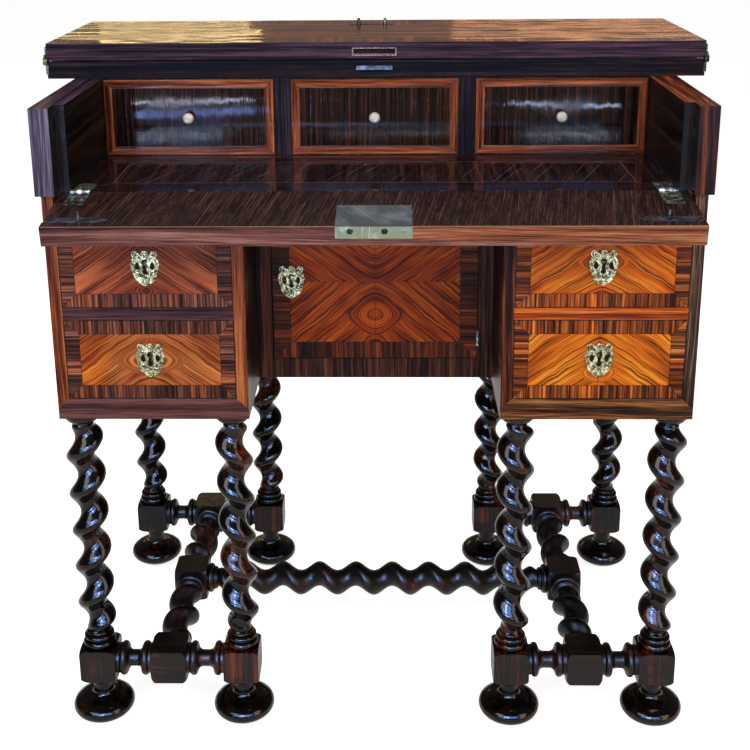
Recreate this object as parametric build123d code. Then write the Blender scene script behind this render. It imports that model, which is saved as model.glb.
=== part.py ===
from build123d import *
import math
import os

# Bureau mazarin of the folding kind (bureau brise). Two drawer pedestals and a recessed cupboard stand
# on eight barley-twist legs joined by turned stretchers. The front half of the top folds back on the
# rear half, and the front falls forward to meet the writing board.
# Frame: X to the right of someone facing the desk, Y to the back, Z up, origin on the floor under the
# middle of the whole outline. "Depth" is the distance behind the front plane of the pedestals.

# --- Driving dimensions, mm -------------------------------------------------------------------------

# Carcass
body_width = 748.0
body_depth = 414.0
pedestal_width = 226.0
leg_height = 429.0  # floor to the underside of the carcass
side_board = 13.5
back_board = 10.0
bottom_rail_height = 26.0
bottom_rail_depth = 18.0
lower_drawer_opening = 99.0
shelf_thickness = 14.5
upper_drawer_opening = 98.0
top_rail_height = 14.5
top_rail_depth = 40.0
writing_board_thickness = 22.0

# Recessed cupboard between the pedestals
cupboard_recess = 124.0
cupboard_stile_width = 18.2
cupboard_frame_depth = 18.0
cupboard_floor_thickness = 12.0
door_height = 205.5
door_thickness = 18.0
door_gap = 0.6
door_closing_gap = 1.1  # lets the far back corner swing past the stile

# Writing recess
end_board_height = 100.0
end_board_thickness = 34.0
end_board_proud = 5.3
front_proud = 5.0
rebate_width = 11.7
divider_centre = 117.2
divider_thickness = 20.5
small_drawer_depth = 204.0

# Folding top
leaf_overhang = 34.0  # past the outside of each end board
leaf_run = 247.0  # front to back of each leaf
leaf_line = 202.5  # depth of the line on which the leaves are hinged
rear_leaf_thickness = 21.5
front_leaf_thickness = 21.4
leaf_gap = 1.4

# Fall front
fall_end_gap = 5.5  # between each end of the fall and the carcass side
fall_length = 99.0
fall_thickness = 22.5
fall_droop = 8.0  # degrees below level when it lies open
fall_relief = 0.6

# Drawers
large_front_thickness = 18.0
large_side_thickness = 8.0
small_front_thickness = 12.0
small_side_thickness = 6.0
drawer_bottom_thickness = 5.0
drawer_bottom_rise = 6.0
drawer_side_drop = 12.0
drawer_gap = 0.4
drawer_back_space = 9.0

# Turned base
leg_inset_outer = 21.2
leg_inset_inner = 22.8
leg_inset_front = 23.8
leg_inset_back = 22.7
block_width = 44.5
block_height = 45.0
block_base = 61.5
shoulder_radius = 24.0
shoulder_height = 6.5
centre_block_shift = 1.5  # outwards of midway between the legs
twist_radius = 17.0
twist_throw = 6.0
twist_neck = 12.5
twist_run_in = 17.0
stretcher_pitch = 51.8
dome_radius = 21.7
dome_height = 12.5
leg_neck_length = 4.0
foot_radius = 38.6
foot_sole_radius = 16.0
foot_under = 12.5
foot_over = 26.8
foot_rim_bow = 3.2
foot_crown_radius = 19.0
foot_crown = 33.5
foot_neck_base = 42.0
foot_neck_radius = 12.3
leg_neck_radius = 11.3
foot_ring_radius = 14.6
foot_ring_height = 6.5
leg_tenon_radius = 9.0
leg_tenon_length = 16.0
foot_peg_radius = 7.0
foot_peg_length = 15.0
stretcher_tenon_radius = 8.0
stretcher_tenon_length = 12.0
spool_disc_radius = 18.6
spool_disc_length = 4.0
spool_bead_radius = 21.2
spool_bead_length = 9.0
spool_waist_radius = 10.3
spool_waist_length = 5.0
glue_gap = 0.1  # around and beyond a tenon in its bore
sections_per_turn = 8
sections_per_span = 48
bead_bow = 0.42  # of a ring's thickness
bead_fillet = 1.0
bead_slope = 1.5

# Brass and steel
escutcheon_thickness = 1.4
keyhole_bore = 4.2
key_offset = 3.5  # the keyhole's middle over the escutcheon's
key_stop = 2.0  # metal left at the back of a lock case behind the keyhole
fall_key_run = 59.0  # fall hinge to the middle of its escutcheon
large_lock = (50.0, 10.0, 62.0)  # width, thickness, height of the case
door_lock = (48.0, 9.0, 54.0)
door_lock_from_edge = 24.2
fall_lock_width = 82.5
fall_lock_run = 58.0
fall_lock_case = 13.9
fall_lock_shift = 1.7  # to the right of the middle
fall_lock_wood = 3.0  # left in front of the case under the keyhole
lock_plate = 1.6
lock_left_hole = 23.7
lock_right_hole = 13.2
lock_hole_radius = 3.5
lock_hole_inset = 5.6
lock_hole_depth = 12.0
peg_root_radius = 2.8
peg_tip_radius = 1.7
peg_length = 9.0
strike_width = 62.0
strike_run = 14.0
bolt_run = 79.0  # fall hinge to the middle of the bolt
bolt_length = 66.0
bolt_width = 13.0
bolt_thickness = 3.5
bolt_flare = 1.0
bolt_point = 12.0
bolt_setback = 4.0
bolt_travel = 12.0
bolt_gap = 0.3
bolt_pin_from_end = 38.0
bolt_pin_radius = 1.5
bolt_pin_height = 11.0
keeper_height = 32.0
keeper_run = 11.5
keeper_thickness = 1.5
tongue_width = 45.0
tongue_thickness = 5.0
tongue_drop = 9.0
tongue_lip = 7.0
tongue_root = 18.0
mortise_width = 53.0
mortise_top = 6.2
mortise_base = 13.9
mortise_depth = 9.0
card_hinge_run = 58.0
card_hinge_height = 13.0
card_eye_radius = 5.0
card_plate = 1.7
card_pin_radius = 1.6
card_pin_proud = 0.8
card_arm_inset = 3.0  # from the meeting faces of the leaves to each arm
card_lug_low = 1.0
card_lug_high = 4.0  # past the near side of the moving arm
card_lug_end = 7.0
card_arm_start = 6.5  # behind the pin; the lug reaches past it
fall_hinge_from_end = 22.0
fall_hinge_width = 22.0
fall_hinge_run = 38.0
fall_hinge_plate = 1.6
fall_knuckle_radius = 3.2
fall_pin_radius = 1.5
door_hinge_height = 19.0
door_hinge_from_end = 28.0
door_hinge_run = 14.0
door_hinge_plate = 1.2
door_knuckle_radius = 2.2
door_pin_radius = 1.1
door_knuckle_stand = 2.3  # pin centre in front of the door's face
pin_clearance = 0.05
knuckle_gap = 0.15
recess_gap = 0.3
knob_radius = 6.6
knob_reach = 13.0
knob_stem_radius = 2.3
knob_stem_length = 9.0
knob_stem_gap = 0.05

# Each leg: whether it stands at the front and on the outside, its side of the desk, the hand of its
# twist, its pitch, and a height at which the rope stands out to the right. No two were cut alike.
legs = {
    "leg_front_outer_left": (True, True, -1, 1, 50.5, 293.2),
    "leg_front_inner_left": (True, False, -1, -1, 52.0, 311.5),
    "leg_front_inner_right": (True, False, 1, -1, 53.0, 298.4),
    "leg_front_outer_right": (True, True, 1, -1, 51.5, 285.0),
    "leg_rear_outer_left": (False, True, -1, 1, 50.5, 297.9),
    "leg_rear_inner_left": (False, False, -1, 1, 50.5, 296.3),
    "leg_rear_inner_right": (False, False, 1, -1, 50.5, 304.0),
    "leg_rear_outer_right": (False, True, 1, 1, 50.5, 317.0),
}

# --- Worked out from them ---------------------------------------------------------------------------

body_half = body_width / 2
pedestal_inner = body_half - pedestal_width
opening_outer = body_half - side_board
opening_inner = pedestal_inner + side_board
back_face = body_depth - back_board

floor_z = leg_height + bottom_rail_height
shelf_base = floor_z + lower_drawer_opening
shelf_top = shelf_base + shelf_thickness
top_rail_base = shelf_top + upper_drawer_opening
board_base = top_rail_base + top_rail_height
writing_z = board_base + writing_board_thickness
leaf_base = writing_z + end_board_height
leaf_top = leaf_base + rear_leaf_thickness
leaf_pivot_z = leaf_top + leaf_gap / 2

end_outer = body_half + end_board_proud
end_inner = end_outer - end_board_thickness
rebate_x = end_inner + rebate_width
leaf_half = end_outer + leaf_overhang
fall_half = opening_outer - fall_end_gap
fall_hinge_x = fall_half - fall_hinge_from_end
bolt_pin_x = fall_half - bolt_pin_from_end

fall_axis_depth = fall_thickness - front_proud
fall_sine = math.sin(math.radians(fall_droop))
fall_cosine = math.cos(math.radians(fall_droop))
front_reach = fall_length * fall_cosine - fall_axis_depth
rear_reach = leaf_line + leaf_run
front = -(rear_reach - front_reach) / 2  # Y of the pedestals' front plane

fall_place = Pos(0, front + fall_axis_depth, writing_z) * Rot(X=fall_droop)
leaf_place = Pos(0, front + leaf_line, leaf_pivot_z)

leg_x = {True: body_half - leg_inset_outer, False: pedestal_inner + leg_inset_inner}
centre_block_x = (leg_x[True] + leg_x[False]) / 2 + centre_block_shift
leg_depth = {True: leg_inset_front, False: body_depth - leg_inset_back}
block_top = block_base + block_height
stretcher_z = block_base + block_height / 2
middle_depth = (leg_depth[True] + leg_depth[False]) / 2

door_pin_x = pedestal_inner - cupboard_stile_width - door_gap / 2
door_right = door_pin_x - door_gap / 2
door_left = -(pedestal_inner - cupboard_stile_width) + door_closing_gap
door_base = floor_z + door_gap
door_top = door_base + door_height
door_pin_depth = cupboard_recess - door_knuckle_stand

nodes = {}

# --- Small tools ------------------------------------------------------------------------------------


def board(x_range, depth_range, z_range):
    """A square-edged board between two X, two depths behind the front plane and two heights."""
    x0, x1 = sorted(x_range)
    d0, d1 = depth_range
    z0, z1 = z_range
    return Pos((x0 + x1) / 2, front + (d0 + d1) / 2, (z0 + z1) / 2) * Box(x1 - x0, d1 - d0, z1 - z0)


def block(x_range, y_range, z_range):
    """A box between two X, two Y and two Z of whatever frame it is then placed in."""
    x0, x1 = sorted(x_range)
    y0, y1 = sorted(y_range)
    z0, z1 = sorted(z_range)
    return Pos((x0 + x1) / 2, (y0 + y1) / 2, (z0 + z1) / 2) * Box(x1 - x0, y1 - y0, z1 - z0)


def face_board(corners, depth_range):
    """A board cut to an outline seen from the front, as a list of X and Z, between two depths."""
    d0, d1 = depth_range
    outline = make_face(Polyline(*corners, close=True))
    return extrude(Plane.XZ.offset(-front - d0) * outline, -(d1 - d0))


def end_board_shape(corners, x_range):
    """A board cut to an outline seen from its end, as a list of depth and Z, between two X."""
    x0, x1 = sorted(x_range)
    outline = make_face(Polyline(*[(front + depth, z) for depth, z in corners], close=True))
    return extrude(Plane.YZ.offset(x0) * outline, x1 - x0)


def rod_x(x_range, radius):
    """A round rod along X on the local axis."""
    x0, x1 = sorted(x_range)
    return Pos((x0 + x1) / 2, 0, 0) * Rot(Y=90) * Cylinder(radius, x1 - x0)


def group(*solids):
    """Separate solids kept together as one node."""
    return Compound(children=[part for one in solids for part in one.solids()])


def turned(start, steps):
    """A solid turned about Z, from (radius, height) through steps of (radius, height, bow).

    The bow is how far a step's arc stands out from its chord: out if above 0, hollow if below."""
    edges = [Line((0, start[1]), start)]
    here = start
    for radius, height, bow in steps:
        there = (radius, height)
        if bow:
            run = math.dist(here, there)
            middle_radius = (here[0] + radius) / 2 + bow * (height - here[1]) / run
            middle_height = (here[1] + height) / 2 - bow * (radius - here[0]) / run
            edges.append(ThreePointArc(here, (middle_radius, middle_height), there))
        else:
            edges.append(Line(here, there))
        here = there
    edges.append(Line(here, (0, here[1])))
    edges.append(Line((0, here[1]), (0, start[1])))
    return revolve(Plane.XZ * make_face(edges), Axis.Z)


def beads(rings):
    """Half-round rings stacked up Z from 0, as (radius, thickness), then a slope to the twist's neck.

    Gives the solid and its height."""
    steps = []
    height = 0.0
    for radius, thickness in rings:
        bow = thickness * bead_bow
        steps.append((radius - bow, height + bead_fillet / 2, 0))
        steps.append((radius - bow, height + bead_fillet / 2 + thickness, bow))
        height += thickness + bead_fillet
        steps.append((radius - bow, height, 0))
    height += bead_slope
    steps.append((twist_neck, height, 0))
    return turned((steps[0][0], 0), steps), height


def twist(length, pitch, hand, phase):
    """A barley twist up Z: a round rope whose middle circles the axis, run in to a neck at each end.

    The rope stands out to +X at the height phase; hand is 1 for a right-hand rope and -1 for a left."""
    count = round(length / pitch * sections_per_turn)
    rings = []
    for n in range(count + 1):
        height = length * n / count
        swell = math.sin(min(height, length - height, twist_run_in) / twist_run_in * math.pi / 2)
        turn = hand * math.tau * (height - phase) / pitch
        radius = twist_neck + (twist_radius - twist_neck) * swell
        throw = twist_throw * swell
        rings.append(Pos(throw * math.cos(turn), throw * math.sin(turn), height) * Circle(radius))
    spans = math.ceil(count / sections_per_span)
    ends = [round(count * n / spans) for n in range(spans + 1)]
    rope = loft(rings[: ends[1] + 1])
    for low, high in zip(ends[1:], ends[2:]):
        rope += loft(rings[low : high + 1])
    return rope


leg_rings = [(20.4, 9.0), (18.7, 6.5), (15.3, 3.5)]
stretcher_rings = [(20.2, 7.5), (16.0, 3.5)]

# --- Turned base ------------------------------------------------------------------------------------


def square_block():
    """The square block round the local origin, its corners turned off to a shoulder above and below."""
    half = block_height / 2
    corner = block_width * math.sqrt(0.5) + 1
    envelope = turned(
        (shoulder_radius, -half),
        [
            (corner, shoulder_height - half, 1.6),
            (corner, half - shoulder_height, 0),
            (shoulder_radius, half, 1.6),
        ],
    )
    return Box(block_width, block_width, block_height) & envelope


def tenon(radius, length):
    """A round tenon up Z from 0."""
    return Pos(0, 0, length / 2) * Cylinder(radius, length)


def tenon_bore():
    """The bore for a stretcher's tenon, down Z from 0."""
    depth = stretcher_tenon_length + glue_gap
    return Pos(0, 0, -depth / 2) * Cylinder(stretcher_tenon_radius + glue_gap, depth)


def leg(is_front, is_outer, side, hand, pitch, bulge_z):
    """A leg in one piece: square block, rings, barley twist, neck, dome and top tenon."""
    collar, collar_height = beads(leg_rings)
    dome_base = leg_height - dome_height
    twist_base = block_top + collar_height
    twist_top = dome_base - leg_neck_length
    head = turned(
        (twist_neck, twist_top),
        [
            (leg_neck_radius, twist_top + leg_neck_length / 2, 0),
            (leg_neck_radius + 0.6, dome_base, 0),
            (dome_radius, leg_height - 3.0, 2.4),
            (dome_radius, leg_height, 0),
        ],
    )
    post = Pos(0, 0, stretcher_z) * square_block()
    post += Pos(0, 0, block_top) * collar
    rope = twist(twist_top - twist_base, pitch, hand, bulge_z - twist_base)
    post += Pos(0, 0, twist_base) * rope
    post += head
    post += Pos(0, 0, leg_height) * tenon(leg_tenon_radius, leg_tenon_length)
    towards_middle = -side if is_outer else side
    post -= Pos(towards_middle * block_width / 2, 0, stretcher_z) * Rot(Y=90 * towards_middle) * tenon_bore()
    peg_bore = foot_peg_length + glue_gap
    post -= Pos(0, 0, block_base + peg_bore / 2) * Cylinder(foot_peg_radius + glue_gap, peg_bore)
    return Pos(side * leg_x[is_outer], front + leg_depth[is_front], 0) * post


def bun_foot():
    """A flattened bun foot with its neck, top ring and peg, standing at the local origin."""
    foot = turned(
        (foot_sole_radius, 0),
        [
            (foot_radius - foot_rim_bow, foot_under, 0.9),
            (foot_radius - foot_rim_bow, foot_over, foot_rim_bow),
            (foot_crown_radius, foot_crown, 1.5),
            (foot_neck_radius, foot_neck_base, -2.6),
            (foot_neck_radius, block_base - foot_ring_height - 2.0, 0),
            (foot_ring_radius - 2.0, block_base - foot_ring_height, 0),
            (foot_ring_radius - 2.0, block_base, 2.0),
        ],
    )
    return foot + Pos(0, 0, block_base) * tenon(foot_peg_radius, foot_peg_length)


def half_spool(length):
    """Half of a spool up Z from the face of a block: disc, bead, and a hollow down to the waist."""
    bead_end = spool_disc_length + spool_bead_length
    bead_root = spool_bead_radius - 4.0
    return turned(
        (spool_disc_radius, 0),
        [
            (spool_disc_radius, spool_disc_length, 0),
            (bead_root, spool_disc_length + 0.4, 0),
            (bead_root, bead_end, 4.0),
            (bead_root - 2.2, bead_end + 1.0, 0),
            (spool_waist_radius, (length - spool_waist_length) / 2, -1.6),
            (spool_waist_radius, length / 2, 0),
        ],
    )


def spool(length):
    """A whole spool up Z from 0."""
    half = half_spool(length)
    return half + Pos(0, 0, length) * Rot(X=180) * half


def short_stretcher(is_front, side):
    """The turned piece that joins an outer and an inner leg: tenon, spool, block, spool, tenon."""
    half = block_width / 2
    inner_face = leg_x[False] + half
    outer_face = leg_x[True] - half
    x_at = centre_block_x - half
    x_past = centre_block_x + half
    bar = Pos(centre_block_x, 0, 0) * Rot(Y=90) * square_block()
    bar += Pos(inner_face, 0, 0) * Rot(Y=90) * spool(x_at - inner_face)
    bar += Pos(x_past, 0, 0) * Rot(Y=90) * spool(outer_face - x_past)
    bar += Pos(inner_face, 0, 0) * Rot(Y=-90) * tenon(stretcher_tenon_radius, stretcher_tenon_length)
    bar += Pos(outer_face, 0, 0) * Rot(Y=90) * tenon(stretcher_tenon_radius, stretcher_tenon_length)
    towards_middle = 1 if is_front else -1
    bore = Pos(centre_block_x, towards_middle * half, 0) * Rot(X=-90 * towards_middle) * tenon_bore()
    bar -= bore
    if side < 0:
        bar = mirror(bar, Plane.YZ)
    return Pos(0, front + leg_depth[is_front], stretcher_z) * bar


def twisted_bar(length, hand, phase):
    """A twisted length up Z between two block faces, with rings at both ends and no tenons."""
    collar, collar_height = beads(stretcher_rings)
    rope = twist(length - 2 * collar_height, stretcher_pitch, hand, phase - collar_height)
    bar = collar + Pos(0, 0, collar_height) * rope
    return bar + Pos(0, 0, length) * Rot(X=180) * collar


def side_stretcher(side):
    """The front-to-back stretcher: tenon, twist, block, twist, tenon, with a bore for the cross piece."""
    half = block_width / 2
    start = leg_depth[True] + half - middle_depth
    length = -half - start
    bar = Rot(X=90) * square_block()
    bar += Pos(0, start, 0) * Rot(X=-90) * twisted_bar(length, -side, length / 2)
    bar += Pos(0, half, 0) * Rot(X=-90) * twisted_bar(length, side, length / 2)
    bar += Pos(0, start, 0) * Rot(X=90) * tenon(stretcher_tenon_radius, stretcher_tenon_length)
    bar += Pos(0, -start, 0) * Rot(X=-90) * tenon(stretcher_tenon_radius, stretcher_tenon_length)
    bar -= Pos(-side * half, 0, 0) * Rot(Y=-90 * side) * tenon_bore()
    return Pos(side * centre_block_x, front + middle_depth, stretcher_z) * bar


def cross_stretcher():
    """The long twisted stretcher between the two side stretchers, with a tenon at each end."""
    reach = centre_block_x - block_width / 2
    bar = Pos(-reach, 0, 0) * Rot(Y=90) * twisted_bar(2 * reach, 1, reach)
    bar += Pos(-reach, 0, 0) * Rot(Y=-90) * tenon(stretcher_tenon_radius, stretcher_tenon_length)
    bar += Pos(reach, 0, 0) * Rot(Y=90) * tenon(stretcher_tenon_radius, stretcher_tenon_length)
    return Pos(0, front + middle_depth, stretcher_z) * bar


def make_base():
    """Legs, feet and stretchers."""
    feet = []
    for name, (is_front, is_outer, side, *turning) in legs.items():
        nodes[name] = leg(is_front, is_outer, side, *turning)
        feet.append(Pos(side * leg_x[is_outer], front + leg_depth[is_front], 0) * bun_foot())
    nodes["bun_feet"] = group(*feet)
    for place, is_front in (("front", True), ("rear", False)):
        pair = [short_stretcher(is_front, side) for side in (-1, 1)]
        nodes[f"short_stretchers_{place}"] = group(*pair)
    for hand_name, side in (("left", -1), ("right", 1)):
        nodes[f"side_stretcher_{hand_name}"] = side_stretcher(side)
    nodes["cross_stretcher"] = cross_stretcher()


# --- Carcass ----------------------------------------------------------------------------------------


def fall_sweep(x_range):
    """The room that the lowered fall needs above the front rails, with its slope underneath."""
    corner_depth = fall_axis_depth + fall_thickness * fall_sine
    corner_z = writing_z - fall_thickness * fall_cosine - fall_relief
    slope = math.tan(math.radians(fall_droop))
    ahead = -5.0
    corners = [
        (ahead, corner_z - (corner_depth - ahead) * slope),
        (corner_depth + fall_relief, corner_z + fall_relief * slope),
        (corner_depth + fall_relief, writing_z),
        (ahead, writing_z),
    ]
    return end_board_shape(corners, x_range)


def mitred_rail(inner_x, inner_open, outer_open, outer_x):
    """Outline of a bottom rail, mitred at 45 degrees against the stiles at both ends."""
    return [
        (inner_x, leg_height),
        (outer_x, leg_height),
        (outer_x, floor_z - abs(outer_x - outer_open)),
        (outer_open, floor_z),
        (inner_open, floor_z),
        (inner_x, floor_z - abs(inner_x - inner_open)),
    ]


def make_pedestal(hand_name, side):
    """One pedestal: two sides, base board and dust shelf, and its bottom and top rails."""
    outline = mitred_rail(
        side * pedestal_inner, side * opening_inner, side * opening_outer, side * body_half
    )
    rail = face_board(outline, (0, bottom_rail_depth))
    opening = (side * opening_inner, side * opening_outer)
    outer = board((side * opening_outer, side * body_half), (0, body_depth), (leg_height, writing_z))
    inner = board((side * pedestal_inner, side * opening_inner), (0, back_face), (leg_height, board_base))
    top_rail = board(opening, (0, top_rail_depth), (top_rail_base, board_base))
    base = board(opening, (bottom_rail_depth, back_face), (leg_height, floor_z))
    for is_outer in (True, False):
        for is_front in (True, False):
            hole = Cylinder(leg_tenon_radius + glue_gap, 2 * (leg_tenon_length + glue_gap))
            hole = Pos(side * leg_x[is_outer], front + leg_depth[is_front], leg_height) * hole
            base -= hole
            outer -= hole
            inner -= hole
            rail -= hole
    shelf = board(opening, (0, back_face), (shelf_base, shelf_top))
    sweep_room = fall_sweep((side * (pedestal_inner - 1), side * (opening_outer)))
    nodes[f"pedestal_{hand_name}_outer_side"] = outer - rail
    nodes[f"pedestal_{hand_name}_inner_side"] = inner - rail - sweep_room
    nodes[f"pedestal_{hand_name}_shelves"] = group(base, shelf)
    return rail, top_rail - sweep_room


def make_carcass():
    """Pedestals, cupboard frame and floor, back and writing board."""
    rails = []
    for hand_name, side in (("left", -1), ("right", 1)):
        rails += make_pedestal(hand_name, side)
    nodes["pedestal_rails"] = group(*rails)

    stile_inner = pedestal_inner - cupboard_stile_width
    frame_depths = (cupboard_recess, cupboard_recess + cupboard_frame_depth)
    outline = mitred_rail(-pedestal_inner, -stile_inner, stile_inner, pedestal_inner)
    low_rail = face_board(outline, frame_depths)
    high_rail = board((-stile_inner, stile_inner), frame_depths, (door_top + door_gap, board_base))
    stiles = []
    for side in (-1, 1):
        stile = board((side * stile_inner, side * pedestal_inner), frame_depths, (leg_height, board_base))
        stiles.append(stile - low_rail)
    stiles[1] -= door_hinge_room(door_pin_x + door_gap / 2 - 0.01, 1)
    nodes["cupboard_frame"] = group(low_rail, high_rail, *stiles)
    floor_depths = (frame_depths[1], back_face)
    nodes["cupboard_floor"] = board(
        (-pedestal_inner, pedestal_inner), floor_depths, (floor_z - cupboard_floor_thickness, floor_z)
    )

    low_back = board((-opening_outer, opening_outer), (back_face, body_depth), (leg_height, board_base))
    high_back = board((-end_inner, end_inner), (back_face, body_depth), (writing_z, leaf_base))
    nodes["back_boards"] = group(low_back, high_back)

    clear_edge = fall_axis_depth + knuckle_gap
    corners = [
        (clear_edge, writing_z),
        (clear_edge + writing_board_thickness * math.tan(math.radians(fall_droop)) + fall_relief, board_base),
        (body_depth, board_base),
        (body_depth, writing_z),
    ]
    writing_board = end_board_shape(corners, (-opening_outer, opening_outer))
    for side in (-1, 1):
        writing_board -= fall_hinge_room(side, 1)
    nodes["writing_board"] = writing_board


# --- Writing recess ---------------------------------------------------------------------------------


def bolt_z():
    """Height of the slide bolts when the fall is up."""
    return writing_z + bolt_run


def make_recess():
    """End boards with their keepers, and the dividers between the small drawers."""
    keepers = []
    for hand_name, side in (("left", -1), ("right", 1)):
        cheek = board((side * end_inner, side * end_outer), (-front_proud, body_depth), (writing_z, leaf_base))
        rebate_end = fall_axis_depth + recess_gap
        cheek -= board(
            (side * (end_inner - 1), side * rebate_x), (-front_proud - 1, rebate_end), (writing_z - 1, leaf_base + 1)
        )
        plate_x = (side * rebate_x, side * (rebate_x + keeper_thickness))
        half = keeper_height / 2
        plate = board(plate_x, (rebate_end - keeper_run, rebate_end), (bolt_z() - half, bolt_z() + half))
        slot_half = bolt_width / 2 + bolt_flare + 2 * bolt_gap
        slot_start = fall_axis_depth - bolt_thickness - 2 * bolt_gap
        slot_end = rebate_x + bolt_travel
        slot = board(
            (side * (rebate_x - 1), side * slot_end),
            (slot_start, rebate_end),
            (bolt_z() - slot_half, bolt_z() + slot_half),
        )
        cheek -= plate
        nodes[f"end_board_{hand_name}"] = cheek - slot
        keepers.append(plate - slot)
    nodes["bolt_keepers"] = group(*keepers)

    dividers = []
    for side in (-1, 1):
        x_range = (
            side * (divider_centre - divider_thickness / 2),
            side * (divider_centre + divider_thickness / 2),
        )
        dividers.append(board(x_range, (small_drawer_depth, back_face), (writing_z, leaf_base)))
    nodes["small_dividers"] = group(*dividers)


# --- Folding top ------------------------------------------------------------------------------------


def card_hinges():
    """The card-table hinges on both ends: the fixed plates with their pins, and the moving plates."""
    fixed = []
    moving = []
    for side in (-1, 1):
        end = side * leaf_half
        inside = end - side * card_plate
        first = end + side * card_plate
        second = first + side * (card_plate + knuckle_gap)
        low = -(leaf_gap / 2 + card_arm_inset)
        high = leaf_gap / 2 + card_arm_inset
        arm = block((inside, first), (0, card_hinge_run), (low - card_hinge_height, low))
        eye = rod_x((inside, first), card_eye_radius)
        neck = block((inside, first), (0, card_eye_radius), (low - card_arm_inset, 0))
        plate = arm + neck + eye
        pin = rod_x((inside, second + side * card_pin_proud), card_pin_radius)
        fixed.append(plate + pin)

        arm = block((inside, second), (card_arm_start, card_hinge_run), (high, high + card_hinge_height))
        lug = block(
            (first + side * knuckle_gap, second), (0, card_lug_end), (card_lug_low, high + card_lug_high)
        )
        eye = rod_x((first + side * knuckle_gap, second), card_eye_radius)
        hole = rod_x((inside, second + side), card_pin_radius + pin_clearance)
        moving.append(arm + lug + eye - hole)
    return fixed, moving


def make_top():
    """Rear leaf, fixed, and front leaf, folded back on it, with their hinges, tongue and strike plate."""
    half = leaf_half
    edge = leaf_gap / 2
    fixed, moving = card_hinges()
    rear = block((-half, half), (edge, leaf_run), (-edge - rear_leaf_thickness, -edge))
    leaf = block((-half, half), (edge, leaf_run), (edge, edge + front_leaf_thickness))
    for plate in fixed:
        rear -= plate
    for plate in moving:
        leaf -= plate
    for side in (-1, 1):
        eye_room = rod_x((side * (half - card_plate), side * (half + 1)), card_eye_radius + recess_gap)
        leaf -= eye_room
        rear -= eye_room

    tongue_z = (-tongue_drop - tongue_thickness / 2, -tongue_drop + tongue_thickness / 2)
    tongue_x = (-tongue_width / 2, tongue_width / 2)
    tongue = block(tongue_x, (-tongue_lip, tongue_root), tongue_z)
    rear -= tongue
    leaf -= block(
        (-mortise_width / 2, mortise_width / 2), (0, mortise_depth), (mortise_top, mortise_base)
    )

    # The strike plate lies over the lock's selvedge when leaf and fall are both shut.
    strike_y = leaf_line - (fall_axis_depth - lock_hole_inset)
    strike_x = (lock_right_hole - lock_left_hole) / 2
    upper = edge + front_leaf_thickness
    strike = block(
        (strike_x - strike_width / 2, strike_x + strike_width / 2),
        (strike_y - strike_run / 2, strike_y + strike_run / 2),
        (upper - lock_plate, upper),
    )
    leaf -= strike
    for peg_x in (-lock_left_hole, lock_right_hole):
        peg = Cone(peg_root_radius, peg_tip_radius, peg_length)
        strike += Pos(peg_x, strike_y, upper + peg_length / 2) * peg

    nodes["rear_leaf"] = leaf_place * rear
    nodes["leaf_tongue"] = leaf_place * tongue
    nodes["leaf_hinge_plates"] = group(*[leaf_place * plate for plate in fixed])
    nodes["front_leaf"] = leaf_place * leaf
    nodes["leaf_hinge_arms"] = group(*[leaf_place * plate for plate in moving])
    nodes["strike_plate"] = leaf_place * strike


# --- Escutcheon -------------------------------------------------------------------------------------


def keyhole_outline(grow):
    """The keyhole: a round head, a waist and a flared foot."""
    head = Pos(0, 7.1) * Circle(3.7 + grow)
    waist = Pos(0, 1.5) * Rectangle(4.0 + 2 * grow, 13.0)
    foot = Pos(0, -4.4) * Circle(3.2 + grow)
    return head + waist + foot


def escutcheon():
    """A cast and pierced escutcheon lying on the local XZ plane, its back at Y 0 and its face to -Y."""
    side_scroll = Pos(0, 5.0) * Ellipse(16.4, 12.3)
    lobe = make_face(
        [
            ThreePointArc((-13.8, -5.2), (-10.4, -14.6), (-2.6, -20.4)),
            ThreePointArc((-2.6, -20.4), (0, -21.2), (2.6, -20.4)),
            ThreePointArc((2.6, -20.4), (10.4, -14.6), (13.8, -5.2)),
            Line((13.8, -5.2), (-13.8, -5.2)),
        ]
    )
    crest = Pos(0, 16.2) * Ellipse(4.4, 4.9)
    sheet = side_scroll + lobe + crest
    pierced = keyhole_outline(0)
    rim = keyhole_outline(1.1) - keyhole_outline(0)
    for side in (-1, 1):
        sheet += Pos(side * 10.7, 16.4) * Circle(4.2)
        pierced += Pos(side * 9.6, 15.6) * Circle(1.5)
        pierced += Pos(side * 15.9, -4.7) * Circle(2.0)
        pierced += Pos(side * 6.6, -7.6) * Circle(1.15)
        pierced += Pos(side * 8.6, 2.4) * Ellipse(2.7, 4.6)
        pierced += Pos(side * 6.0, 20.2) * Circle(1.9)
    pierced += Pos(0, -11.8) * Circle(1.2)
    plate = extrude(Plane.XZ * (sheet - pierced), escutcheon_thickness)
    raised = extrude(Plane.XZ * (rim - (pierced - keyhole_outline(0))), escutcheon_thickness + 0.6)
    boss = Pos(0, -escutcheon_thickness, 16.2) * Rot(X=90) * Sphere(2.4, arc_size1=0)
    return plate + raised + boss


def keyhole_cut(length):
    """The bore behind an escutcheon, from its back to the lock."""
    return Pos(0, length / 2, key_offset) * Rot(X=90) * Cylinder(keyhole_bore, length)


# --- Drawers ----------------------------------------------------------------------------------------


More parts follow.
